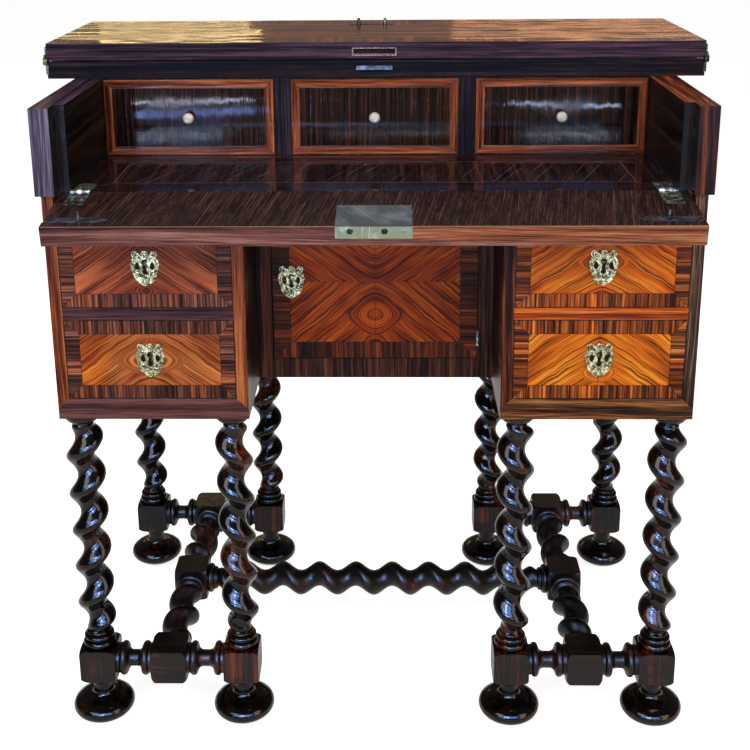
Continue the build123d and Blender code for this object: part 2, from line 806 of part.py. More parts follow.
def drawer_box(x_range, z_range, start, front_thickness, side_thickness):
    """A drawer's front, and the sides, back and bottom behind it."""
    x0, x1 = x_range
    z0, z1 = z_range
    stop = back_face - drawer_back_space
    behind = start + front_thickness
    top = z1 - drawer_side_drop
    panel = board(x_range, (start, behind), z_range)
    left = board((x0, x0 + side_thickness), (behind, stop), (z0, top))
    right = board((x1 - side_thickness, x1), (behind, stop), (z0, top))
    between = (x0 + side_thickness, x1 - side_thickness)
    back = board(between, (stop - side_thickness, stop), (z0, top))
    low = z0 + drawer_bottom_rise
    bottom = board(between, (behind, stop - side_thickness), (low, low + drawer_bottom_thickness))
    return panel, [left, right, back, bottom]


def make_large_drawer(row, hand_name, side, opening_base, opening_height):
    """A pedestal drawer with its escutcheon and lock."""
    x_range = sorted((side * (opening_inner + drawer_gap), side * (opening_outer - drawer_gap)))
    z_range = (opening_base + drawer_gap, opening_base + opening_height - drawer_gap)
    panel, boards = drawer_box(x_range, z_range, 0, large_front_thickness, large_side_thickness)
    middle_x = sum(x_range) / 2
    middle_z = sum(z_range) / 2
    width, thickness, height = large_lock
    lock_depths = (large_front_thickness - thickness, large_front_thickness)
    case = board(
        (middle_x - width / 2, middle_x + width / 2), lock_depths, (z_range[1] - height, z_range[1])
    )
    at_face = Pos(middle_x, front, middle_z)
    panel -= case
    panel -= at_face * keyhole_cut(large_front_thickness)
    case -= at_face * keyhole_cut(large_front_thickness - key_stop)
    name = f"drawer_{row}_{hand_name}"
    nodes[name] = group(panel, *boards)
    nodes[f"{name}_lock"] = group(at_face * escutcheon(), case)


def small_knob():
    """A turned knob on the local XZ plane, its stem going back from Y 0."""
    shape = turned(
        (knob_stem_radius, -knob_stem_length),
        [
            (knob_stem_radius, 0, 0),
            (4.6, 0, 0),
            (4.6, 1.2, 0.4),
            (2.9, 2.6, -0.5),
            (4.6, knob_reach - 9.2, -0.4),
            (knob_radius, knob_reach - 4.8, 1.0),
            (2.5, knob_reach - 0.4, 1.9),
            (0.4, knob_reach, 0.2),
        ],
    )
    return Rot(X=90) * shape


def make_small_drawer(place, x_range):
    """A small drawer in the writing recess, with its knob."""
    z_range = (writing_z + drawer_gap, leaf_base - 3 * drawer_gap)
    x0, x1 = x_range[0] + drawer_gap, x_range[1] - drawer_gap
    panel, boards = drawer_box(
        (x0, x1), z_range, small_drawer_depth, small_front_thickness, small_side_thickness
    )
    at_face = Pos((x0 + x1) / 2, front + small_drawer_depth, sum(z_range) / 2)
    hole_radius = knob_stem_radius + knob_stem_gap
    hole = Pos(0, knob_stem_length / 2, 0) * Rot(X=90) * Cylinder(hole_radius, knob_stem_length)
    name = f"small_drawer_{place}"
    nodes[name] = group(panel - at_face * hole, *boards)
    nodes[f"{name}_knob"] = at_face * small_knob()


def make_drawers():
    """The four pedestal drawers and the three small ones."""
    for hand_name, side in (("left", -1), ("right", 1)):
        make_large_drawer("lower", hand_name, side, floor_z, lower_drawer_opening)
        make_large_drawer("upper", hand_name, side, shelf_top, upper_drawer_opening)
    near = divider_centre - divider_thickness / 2
    far = divider_centre + divider_thickness / 2
    make_small_drawer("left", (-end_inner, -far))
    make_small_drawer("middle", (-near, near))
    make_small_drawer("right", (far, end_inner))


# --- Door -------------------------------------------------------------------------------------------


def door_hinge_heights():
    """Middles of the two door hinges."""
    return (door_base + door_hinge_from_end, door_top - door_hinge_from_end)


def door_hinge_room(x_face, lift):
    """The recesses for a door hinge plate in the edge at x_face; lift 1 cuts towards +X, -1 to -X."""
    room = None
    for z in door_hinge_heights():
        half = door_hinge_height / 2
        plate = board(
            (x_face, x_face + lift * (door_hinge_plate + 0.01)),
            (cupboard_recess - 1, cupboard_recess + door_hinge_run),
            (z - half, z + half),
        )
        pin_room = Pos(door_pin_x, front + door_pin_depth, z) * Cylinder(
            door_knuckle_radius + knuckle_gap, door_hinge_height
        )
        room = plate + pin_room if room is None else room + plate + pin_room
    return room


def door_hinge_side(lift, thirds):
    """One side of both door hinges: a plate let into the edge, and knuckles on the given thirds."""
    solids = []
    third = door_hinge_height / 3
    for z in door_hinge_heights():
        base = z - door_hinge_height / 2
        x_face = door_pin_x + lift * door_gap / 2
        plate = board(
            (x_face, x_face + lift * door_hinge_plate),
            (cupboard_recess, cupboard_recess + door_hinge_run),
            (base, base + door_hinge_height),
        )
        shape = plate
        for n in thirds:
            low = base + n * third + (knuckle_gap / 2 if n else 0)
            high = base + (n + 1) * third - (knuckle_gap / 2 if n < 2 else 0)
            knuckle = Pos(door_pin_x, front + door_pin_depth, (low + high) / 2) * Cylinder(
                door_knuckle_radius, high - low
            )
            arm = board(
                (door_pin_x + lift * 0.2, x_face + lift * door_hinge_plate),
                (door_pin_depth, cupboard_recess + 0.5),
                (low, high),
            )
            shape = shape + knuckle + arm
        bore_radius = door_pin_radius + (pin_clearance if lift < 0 else 0)
        pin_line = Pos(door_pin_x, front + door_pin_depth, z)
        if lift < 0:
            shape -= pin_line * Cylinder(bore_radius, 2 * door_hinge_height)
        else:
            shape += pin_line * Cylinder(bore_radius, door_hinge_height)
        solids.append(shape)
    return solids


def make_door():
    """The cupboard door with its escutcheon, lock and hinges."""
    depths = (cupboard_recess, cupboard_recess + door_thickness)
    panel = board((door_left, door_right), depths, (door_base, door_top))
    middle_z = (door_base + door_top) / 2
    width, thickness, height = door_lock
    case = board(
        (door_left, door_left + width),
        (depths[1] - thickness, depths[1]),
        (middle_z - height / 2, middle_z + height / 2),
    )
    at_face = Pos(door_left + door_lock_from_edge, front + cupboard_recess, middle_z)
    panel -= case
    panel -= at_face * keyhole_cut(door_thickness)
    case -= at_face * keyhole_cut(door_thickness - key_stop)
    panel -= door_hinge_room(door_right + 0.01, -1)
    nodes["door"] = panel
    nodes["door_lock"] = group(at_face * escutcheon(), case)
    nodes["door_hinge_plates"] = group(*door_hinge_side(1, (0, 2)))
    nodes["door_hinge_flaps"] = group(*door_hinge_side(-1, (1,)))


# --- Fall front -------------------------------------------------------------------------------------


def fall_hinge_room(side, lift):
    """The recess for a fall hinge, in the writing board with lift 1 or in the fall with lift -1.

    The writing board's is placed in the desk; the fall's is left in the fall's own frame."""
    half = fall_hinge_width / 2
    x_range = (side * fall_hinge_x - half, side * fall_hinge_x + half)
    plate = block(x_range, (0, lift * fall_hinge_run), (-fall_hinge_plate, 1))
    wider = (x_range[0] - knuckle_gap, x_range[1] + knuckle_gap)
    room = plate + rod_x(wider, fall_knuckle_radius + recess_gap)
    if lift < 0:
        return room
    return Pos(0, front + fall_axis_depth, writing_z) * room


def fall_hinge_side(side, lift, thirds):
    """One side of a fall hinge in the frame of its pin: a plate and knuckles on the given thirds."""
    half = fall_hinge_width / 2
    middle = side * fall_hinge_x
    third = fall_hinge_width / 3
    shape = block(
        (middle - half, middle + half),
        (lift * (fall_knuckle_radius + recess_gap), lift * fall_hinge_run),
        (-fall_hinge_plate, 0),
    )
    for n in thirds:
        low = middle - half + n * third + (knuckle_gap if n else 0)
        high = middle - half + (n + 1) * third - (knuckle_gap if n < 2 else 0)
        arm = block((low, high), (0, lift * (fall_knuckle_radius + 1)), (-fall_hinge_plate, 0))
        shape = shape + rod_x((low, high), fall_knuckle_radius) + arm
    if lift < 0:
        return shape - rod_x((middle - half - 1, middle + half + 1), fall_pin_radius + pin_clearance)
    return shape + rod_x((middle - half, middle + half), fall_pin_radius)


def bolt_outline(side, gap, inner_reach, outer_reach):
    """A slide bolt's bar seen from above on the fall's face, pointed at its inner end."""
    half = bolt_width / 2 + gap
    corners = [
        (side * inner_reach, -bolt_run),
        (side * (inner_reach + bolt_point), -bolt_run - half),
        (side * outer_reach, -bolt_run - half),
        (side * outer_reach, -bolt_run + half),
        (side * (inner_reach + bolt_point), -bolt_run + half),
    ]
    return make_face(Polyline(*corners, close=True))


def bolt_bar(side, gap, inner_reach, outer_reach):
    """A bar wider below than at the face, so that its groove holds it."""
    face = bolt_outline(side, gap, inner_reach, outer_reach)
    under = bolt_outline(side, gap + bolt_flare, inner_reach, outer_reach)
    depth = bolt_thickness + gap
    return loft([Pos(0, 0, -depth) * under, face])


def make_fall():
    """The fall front with its lock, hinges and slide bolts, lying open."""
    half = fall_half
    panel = block((-half, half), (-fall_length, -knuckle_gap), (-fall_thickness, 0))
    hinge_plates = []
    hinge_flaps = []
    for side in (-1, 1):
        panel -= fall_hinge_room(side, -1)
        plate = fall_hinge_side(side, 1, (0, 2))
        hinge_plates.append(Pos(0, front + fall_axis_depth, writing_z) * plate)
        hinge_flaps.append(fall_place * fall_hinge_side(side, -1, (1,)))

    lock_x = fall_lock_shift
    lock_sides = (lock_x - fall_lock_width / 2, lock_x + fall_lock_width / 2)
    run = (-fall_length, -fall_length + fall_lock_run)
    case = block(lock_sides, run, (-fall_lock_case, 0))
    panel -= case
    for hole_x in (-lock_left_hole, lock_right_hole):
        hole = Rot(X=90) * Cylinder(lock_hole_radius, 2 * lock_hole_depth)
        case -= Pos(hole_x, -fall_length, -lock_hole_inset) * hole
    # The keyhole looks out of the fall's outer face, which is underneath while it lies open.
    under_face = Pos(lock_x, -fall_key_run, -fall_thickness) * Rot(X=90)
    panel -= under_face * keyhole_cut(fall_thickness)
    case -= under_face * keyhole_cut(fall_thickness - fall_lock_wood)

    outer = half - bolt_setback
    inner = outer - bolt_length
    for hand_name, side in (("left", -1), ("right", 1)):
        panel -= bolt_bar(side, bolt_gap, inner - 2 * bolt_gap, half + 1)
        bolt = bolt_bar(side, 0, inner, outer)
        pin = Pos(side * bolt_pin_x, -bolt_run, bolt_pin_height / 2 - 1)
        bolt += pin * Cylinder(bolt_pin_radius, bolt_pin_height)
        nodes[f"slide_bolt_{hand_name}"] = fall_place * bolt

    nodes["fall_board"] = fall_place * panel
    nodes["fall_lock"] = group(fall_place * case, fall_place * under_face * escutcheon())
    nodes["fall_hinge_plates"] = group(*hinge_plates)
    nodes["fall_hinge_flaps"] = group(*hinge_flaps)


make_base()
make_carcass()
make_recess()
make_top()
make_drawers()
make_door()
make_fall()

os.makedirs("parts", exist_ok=True)
for node_name, shape in nodes.items():
    export_step(shape, f"parts/{node_name}.step")
print(len(nodes), "nodes")
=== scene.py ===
import math
import random
from collections import namedtuple

import bmesh
import bpy
from mathutils import Matrix, Vector


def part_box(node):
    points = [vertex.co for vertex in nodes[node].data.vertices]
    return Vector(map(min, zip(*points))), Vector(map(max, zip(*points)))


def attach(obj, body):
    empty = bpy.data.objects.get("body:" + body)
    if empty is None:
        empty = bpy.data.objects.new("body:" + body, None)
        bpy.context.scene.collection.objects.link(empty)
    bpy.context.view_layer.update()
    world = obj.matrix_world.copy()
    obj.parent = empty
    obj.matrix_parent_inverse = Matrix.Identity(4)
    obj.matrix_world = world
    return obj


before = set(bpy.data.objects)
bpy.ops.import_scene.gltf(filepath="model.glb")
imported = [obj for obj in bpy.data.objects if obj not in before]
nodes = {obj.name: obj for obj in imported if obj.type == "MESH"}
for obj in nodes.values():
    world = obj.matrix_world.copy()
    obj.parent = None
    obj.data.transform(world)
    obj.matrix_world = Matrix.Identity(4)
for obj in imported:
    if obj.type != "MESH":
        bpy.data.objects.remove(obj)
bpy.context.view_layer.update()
rng = random.Random(1700)

# The looks of the bureau mazarin: veneers, black turned wood, old brass, and the photograph's camera and
# light. Lengths are metres in the frame: X to the right, Y to the back, Z up. A seed picks the stretch of
# noise that a surface shows.

# --- Places taken from the frame ---

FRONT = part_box("pedestal_left_outer_side")[0].y  # front plane of the pedestals
SMALL_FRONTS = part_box("small_drawer_left")[0].y  # front plane of the small drawers
WRITING_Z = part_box("writing_board")[1].z
FALL_PIN_SETBACK = 0.0032  # of the fall's pins behind the front of their plates
FALL_AXIS = Vector((0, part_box("fall_hinge_plates")[0].y + FALL_PIN_SETBACK, WRITING_Z))
FALL_DROOP = math.radians(8.0)
FALL_LENGTH = 0.099
FALL_FRONT = FALL_AXIS.y - FALL_LENGTH * math.cos(FALL_DROOP)
FALL_REBATE = 0.002  # how far the end boards' rebates for the fall go behind its axis
FALL_NORMAL = Vector((0, -math.sin(FALL_DROOP), math.cos(FALL_DROOP)))
FALL_PLACE = Matrix.Translation(FALL_AXIS) @ Matrix.Rotation(FALL_DROOP, 4, "X")
LEAF_GAP = 0.0014  # between the two leaves
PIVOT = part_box("rear_leaf")[1] + Vector((0, 0, LEAF_GAP / 2))
PIVOT.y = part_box("rear_leaf")[0].y - LEAF_GAP / 2  # on the line about which the front leaf turns
DOOR_LOCK_X = 0.0242  # from the door's left edge to the middle of its escutcheon
SKIN = 0.001  # a face belongs to a plane when its middle is no further away


def srgb(red, green, blue):
    """A colour as it looks on a screen, 0 to 255, in the linear values that shaders take."""

    def linear(level):
        return level / 255 / 12.92 if level <= 10 else ((level / 255 + 0.055) / 1.055) ** 2.4

    return linear(red), linear(green), linear(blue)


def darker(tone, share):
    """A screen colour with its levels cut to a share."""
    return [level * share for level in tone]


def put(name, data):
    """Adds an object with the given data to the scene."""
    thing = bpy.data.objects.new(name, data)
    bpy.context.scene.collection.objects.link(thing)
    return thing


# --- Node tools ---


def operator(operation, swapped=False):
    """An operator for Value, which makes a math node. swapped puts the value second."""

    def method(self, other=0.0):
        return self.graph.math(operation, *((other, self) if swapped else (self, other)))

    return method


class Value:
    """A node's output, so that a graph's sums are written as plain arithmetic."""

    def __init__(self, graph, socket):
        self.graph = graph
        self.socket = socket

    __add__ = __radd__ = operator("ADD")
    __sub__ = operator("SUBTRACT")
    __rsub__ = operator("SUBTRACT", swapped=True)
    __mul__ = __rmul__ = operator("MULTIPLY")
    __truediv__ = operator("DIVIDE")
    __pow__ = operator("POWER")
    __abs__ = operator("ABSOLUTE")


class Graph:
    """A node tree under construction. What its methods take may be a number, a colour or a Value."""

    def __init__(self, tree):
        self.tree = tree

    def add(self, kind, *values):
        """A new node, whose first inputs take the values."""
        node = self.tree.nodes.new(kind)
        for value, socket in zip(values, node.inputs):
            self.link(value, socket)
        return node

    def output(self, node, key=0):
        return Value(self, node.outputs[key])

    def link(self, value, socket):
        """Gives a socket its value, by a link or as a constant."""
        if isinstance(value, Value):
            self.tree.links.new(value.socket, socket)
        elif isinstance(value, tuple) and len(value) == 3 and len(socket.default_value) == 4:
            socket.default_value = (*value, 1.0)
        else:
            socket.default_value = value

    def math(self, operation, a, b=0.0):
        node = self.add("ShaderNodeMath", a, b)
        node.operation = operation
        return self.output(node)

    def larger(self, a, b):
        return self.math("MAXIMUM", a, b)

    def root(self, a):
        return self.math("SQRT", a)

    def step(self, a, low, high):
        """0 where a is below low, 1 where it is above high, smooth between."""
        node = self.add("ShaderNodeMapRange", a, low, high)
        node.interpolation_type = "SMOOTHSTEP"
        return self.output(node)

    def below(self, a, low, high):
        """1 where a is below low, 0 where it is above high, smooth between."""
        return 1.0 - self.step(a, low, high)

    def point(self, x, y, z):
        return self.output(self.add("ShaderNodeCombineXYZ", x, y, z))

    def noise(self, place, scale=1.0, detail=3.0, roughness=0.55):
        """Soft random values about 0.5. place is a vector, or the three numbers that make one."""
        vector = self.point(*place) if isinstance(place, tuple) else place
        node = self.add("ShaderNodeTexNoise", vector)
        for key, value in (("Scale", scale), ("Detail", detail), ("Roughness", roughness)):
            node.inputs[key].default_value = value
        return self.output(node)

    def cell(self, a, seed=0.0):
        """A random value for each whole number of a."""
        node = self.add("ShaderNodeTexWhiteNoise", self.point(self.math("FLOOR", a), seed, 0.0))
        node.noise_dimensions = "2D"
        return self.output(node)

    def ramp(self, factor, places, colors):
        """A factor's colour, by the linear colours at some of its values."""
        node = self.add("ShaderNodeValToRGB", factor)
        elements = node.color_ramp.elements
        while len(elements) < len(colors):
            elements.new(0.5)
        for element, position, color in zip(elements, places, colors):
            element.position = position
            element.color = (*color, 1.0)
        return self.output(node)

    def tones(self, factor, places, tones):
        """A ramp between screen colours."""
        return self.ramp(factor, places, [srgb(*tone) for tone in tones])

    def mix(self, factor, a, b, blend="MIX"):
        """A colour between a and b. Sockets 6, 7 and 2 are the mix node's colours."""
        node = self.add("ShaderNodeMix", factor)
        node.data_type = "RGBA"
        node.blend_type = blend
        self.link(a, node.inputs[6])
        self.link(b, node.inputs[7])
        return self.output(node, 2)

    def stain(self, color, share, tone):
        """A colour with a share of a screen colour laid over it."""
        return self.mix(share, color, srgb(*tone))

    def blend(self, factor, a, b):
        """A number between a and b."""
        node = self.add("ShaderNodeMix", factor)
        self.link(a, node.inputs[2])
        self.link(b, node.inputs[3])
        return self.output(node)

    def shown(self, polish_share):
        """1 for what the camera sees, straight or through glass, and a share of it for what polish shows."""
        path = self.add("ShaderNodeLightPath")
        seen = self.larger(self.output(path, "Is Camera Ray"), self.output(path, "Is Transmission Ray"))
        return self.larger(seen, self.output(path, "Is Glossy Ray") * polish_share)


class Surface(Graph):
    """The graph of a new material, which starts from the place on the surface and ends in its shader."""

    def __init__(self, name):
        self.material = bpy.data.materials.new(name)
        self.material.use_nodes = True
        super().__init__(self.material.node_tree)
        self.shader = self.tree.nodes["Principled BSDF"]
        self.place = self.output(self.add("ShaderNodeTexCoord"), "Object")
        split = self.add("ShaderNodeSeparateXYZ", self.place)
        self.x, self.y, self.z = (self.output(split, axis) for axis in range(3))

    def grain(self, axis):
        """The place along a grain that runs with the given axis, and in the two ways across it."""
        ways = {"x": (self.x, self.z, self.y), "y": (self.y, self.x, self.z), "z": (self.z, self.x, self.y)}
        return ways[axis]

    def finish(self, color, roughness=0.3, gloss=0.5, coat=0.0, metal=0.0, height=None, depth=0.0003):
        """Sends the values to the shader. height is a 0 to 1 relief, depth its full height in metres."""
        inputs = self.shader.inputs
        for key, value in (
            ("Base Color", color), ("Roughness", roughness), ("Specular IOR Level", gloss),
            ("Metallic", metal), ("Coat Weight", coat), ("Coat Roughness", COAT_ROUGHNESS)
        ):
            self.link(value, inputs[key])
        if height is not None:
            bump = self.add("ShaderNodeBump")
            bump.inputs["Distance"].default_value = depth
            self.link(height, bump.inputs["Height"])
            self.link(self.output(bump), inputs["Normal"])
            if coat:
                self.link(self.output(bump), inputs["Coat Normal"])
        return self.material


# --- Camera, light and floor ---

FOCAL_PX = 1196.35  # of a frame 750 pixels wide
FRAME_PX = 750.0
CAMERA_PITCH = 0.27623
CAMERA_ROLL = -0.007995
CAMERA_YAW = 0.020538
CAMERA_X = 0.017707
CAMERA_AHEAD = 1.295755  # in front of the pedestals' front plane
CAMERA_Z = 1.041153
CENTRE_PX = (365.145, 219.98)  # where the lens looks straight ahead
SENSOR = 36.0
FLOOR_HALF = 60.0
FLOOR_GLOW = 0.86
FLOOR_GLOSS = 0.7  # the floor's glow in the polish, as a share of what the camera sees
WORLD_LIGHT = 0.13
WORLD_GLOSS = 0.14  # the backdrop in the polish, dimmer than the camera sees it, as the room is

Lamp = namedtuple("Lamp", "place target size power color")
TURNINGS = (0, 0, 0.3)
TOP_LEFT = (-0.2, 0.2, 0.87)
TOP_RIGHT = (0.2, 0.2, 0.87)
BLUE = (0.20, 0.40, 1.0)
SKY = (0.60, 0.76, 1.0)
GOLD = (1.0, 0.70, 0.30)
AMBER = (1.0, 0.46, 0.20)
DEEP_AMBER = (1.0, 0.34, 0.12)
ROOM_LAMPS = {
    "key": Lamp((-1.5, -1.9, 2.3), (0, 0, 0.55), (1.3, 1.3), 44, (1.0, 0.95, 0.90)),
    "fill": Lamp((1.9, -1.5, 1.5), (0, 0, 0.5), (1.0, 1.4), 27, (1.0, 0.90, 0.78)),
    "top": Lamp((0.2, 0.2, 2.6), (0, 0, 0.8), (1.6, 1.0), 20, (1.0, 0.96, 0.92)),
}
FRONT_WINDOWS = {
    "panel_low": Lamp((-0.1, -2.35, 0.86), TURNINGS, (3.2, 0.28), 90, BLUE),
    "panel_high": Lamp((-0.1, -2.35, 1.60), TURNINGS, (3.2, 0.50), 150, BLUE),
    "window_low": Lamp((-0.25, -2.30, 0.87), TURNINGS, (0.6, 0.24), 26, SKY),
    "window_high": Lamp((-0.25, -2.30, 1.56), TURNINGS, (0.6, 0.34), 34, SKY),
    "ember": Lamp((1.5, -1.5, 0.35), (0, -0.2, 0.3), (0.6, 0.7), 12, (1.0, 0.50, 0.26)),
}
BACK_WINDOWS = {
    "gold_low": Lamp((-0.95, 3.0, 1.12), TOP_LEFT, (0.9, 0.05), 0.6, GOLD),
    "gold_middle": Lamp((-0.76, 3.0, 1.30), TOP_LEFT, (0.6, 0.05), 0.7, GOLD),
    "gold_high": Lamp((-1.0, 3.0, 1.47), TOP_LEFT, (1.1, 0.06), 0.9, GOLD),
    "amber_low": Lamp((0.75, 3.0, 1.16), TOP_RIGHT, (1.0, 0.08), 0.50, AMBER),
    "amber_high": Lamp((0.95, 3.0, 1.40), TOP_RIGHT, (0.9, 0.08), 0.55, AMBER),
    "amber_wide": Lamp((0.45, 3.05, 1.28), TOP_RIGHT, (2.0, 0.40), 0.45, DEEP_AMBER),
}

# Windows that show as streaks in the small drawers' polish: the streak's ends across, its height and
# thickness on the fronts, the window's brightness and colour. Those below STREAK_SPLIT show by way of the
# writing board.
Streak = namedtuple("Streak", "start end height thick bright color")
STREAK_SPLIT = 0.744
STREAK_AWAY = 2.4  # from the small drawers' fronts forward to the windows
STREAKS = {
    "streak_a": Streak(-0.310, -0.165, 0.7730, 0.0024, 120, (0.72, 0.80, 1.0)),
    "streak_b": Streak(-0.325, -0.150, 0.7585, 0.0080, 45, (0.26, 0.40, 1.0)),
    "streak_c": Streak(-0.315, -0.180, 0.7370, 0.0014, 150, (1.0, 0.94, 0.80)),
    "streak_d": Streak(-0.315, -0.200, 0.7290, 0.0060, 300, (0.48, 0.66, 1.0)),
    "streak_e": Streak(-0.060, 0.110, 0.7330, 0.0020, 130, (0.90, 0.92, 1.0)),
    "streak_f": Streak(0.180, 0.320, 0.7660, 0.0040, 70, (0.56, 0.68, 1.0)),
    "streak_g": Streak(0.190, 0.300, 0.7290, 0.0040, 240, (0.62, 0.76, 1.0)),
}


def make_camera():
    """The camera at the photograph's place, with the lens shift that its framing shows."""
    data = bpy.data.cameras.new("camera")
    data.sensor_width = SENSOR
    data.lens = FOCAL_PX / FRAME_PX * SENSOR
    data.shift_x = (FRAME_PX / 2 - CENTRE_PX[0]) / FRAME_PX
    data.shift_y = (CENTRE_PX[1] - FRAME_PX / 2) / FRAME_PX
    data.clip_start = 0.02
    camera = put("camera", data)
    turn = Matrix.Translation((CAMERA_X, FRONT - CAMERA_AHEAD, CAMERA_Z))
    for angle, axis in ((CAMERA_YAW, "Z"), (math.pi / 2 - CAMERA_PITCH, "X"), (CAMERA_ROLL, "Z")):
        turn = turn @ Matrix.Rotation(angle, 4, axis)
    camera.matrix_world = turn
    bpy.context.scene.camera = camera


def area_light(name, lamp, only_gloss):
    """A soft rectangular lamp that the camera doesn't see. only_gloss keeps it to reflections."""
    data = bpy.data.lights.new(name, "AREA")
    data.shape = "RECTANGLE"
    data.size, data.size_y = lamp.size
    data.energy = lamp.power
    data.color = lamp.color
    light = put(name, data)
    light.location = lamp.place
    light.rotation_euler = (Vector(lamp.target) - Vector(lamp.place)).to_track_quat("-Z", "Y").to_euler()
    light.visible_camera = False
    light.visible_diffuse = not only_gloss


def streak_lamp(streak):
    """The lamp whose image in the small drawers' fronts, as the camera sees them, is the streak."""
    ratio = STREAK_AWAY / (SMALL_FRONTS - (FRONT - CAMERA_AHEAD))
    x = (streak.start + streak.end) / 2
    rise = (CAMERA_Z - streak.height) * ratio
    by_board = streak.height <= STREAK_SPLIT
    z = 2 * WRITING_Z - streak.height + rise if by_board else streak.height - rise
    size = ((streak.end - streak.start) * (1 + ratio), streak.thick * (1 + ratio))
    power = streak.bright * math.pi * size[0] * size[1]
    place = (x + (x - CAMERA_X) * ratio, SMALL_FRONTS - STREAK_AWAY, z)
    return Lamp(place, (x, SMALL_FRONTS, streak.height), size, power, streak.color)


def make_lights():
    """The room's lamps light the colours. The windows in front and behind show in the polish alone."""
    streak_lamps = {name: streak_lamp(streak) for name, streak in STREAKS.items()}
    for name, lamp in (ROOM_LAMPS | FRONT_WINDOWS | streak_lamps | BACK_WINDOWS).items():
        area_light(name, lamp, only_gloss=name not in ROOM_LAMPS)


def make_world():
    """Even, rather dim studio light, which the camera sees as a white backdrop."""
    world = bpy.data.worlds.new("world")
    bpy.context.scene.world = world
    world.use_nodes = True
    graph = Graph(world.node_tree)
    light = graph.tree.nodes["Background"]
    graph.link((1.0, 0.98, 0.96), light.inputs["Color"])
    graph.link(graph.larger(graph.shown(WORLD_GLOSS), WORLD_LIGHT), light.inputs["Strength"])


def make_floor():
    """A plain pale floor that shows white to the camera and in the polish, and keeps the shadow."""
    mesh = bpy.data.meshes.new("floor")
    corners = [(x * FLOOR_HALF, y * FLOOR_HALF, 0) for x, y in ((-1, -1), (1, -1), (1, 1), (-1, 1))]
    mesh.from_pydata(corners, [], [(0, 1, 2, 3)])
    floor = put("floor", mesh)
    graph = Surface("floor")
    speckle = graph.noise(graph.place, 60.0, detail=2.0)
    color = graph.ramp(speckle, (0.3, 0.7), [(0.90, 0.90, 0.895), (0.93, 0.93, 0.925)])
    graph.finish(color, roughness=0.9, gloss=0.0)
    glow = graph.add("ShaderNodeEmission")
    graph.link(graph.shown(FLOOR_GLOSS) * FLOOR_GLOW, glow.inputs["Strength"])
    both = graph.add("ShaderNodeAddShader", graph.output(graph.shader), graph.output(glow))
    graph.link(graph.output(both), graph.tree.nodes["Material Output"].inputs["Surface"])
    mesh.materials.append(graph.material)


# --- Wood and polish ---

POLISH_DEPTH = 0.0009
COAT_ROUGHNESS = 0.08
JOINT_LINE = (0.0002, 0.0006)  # from a joint's middle to where its line starts to fade, and has gone
BOARD_HALF_WIDTH = 0.345  # of the writing board's panel
SHADE_HALVES = (0.0125, 0.0175)  # of the painted shadow behind an escutcheon, across and up
MORTISE_HALVES = (0.0265, 0.0039)  # of the tongue's mortise, across and up
MORTISE_RISE = 0.00935  # of the mortise's middle above the front leaf's underside

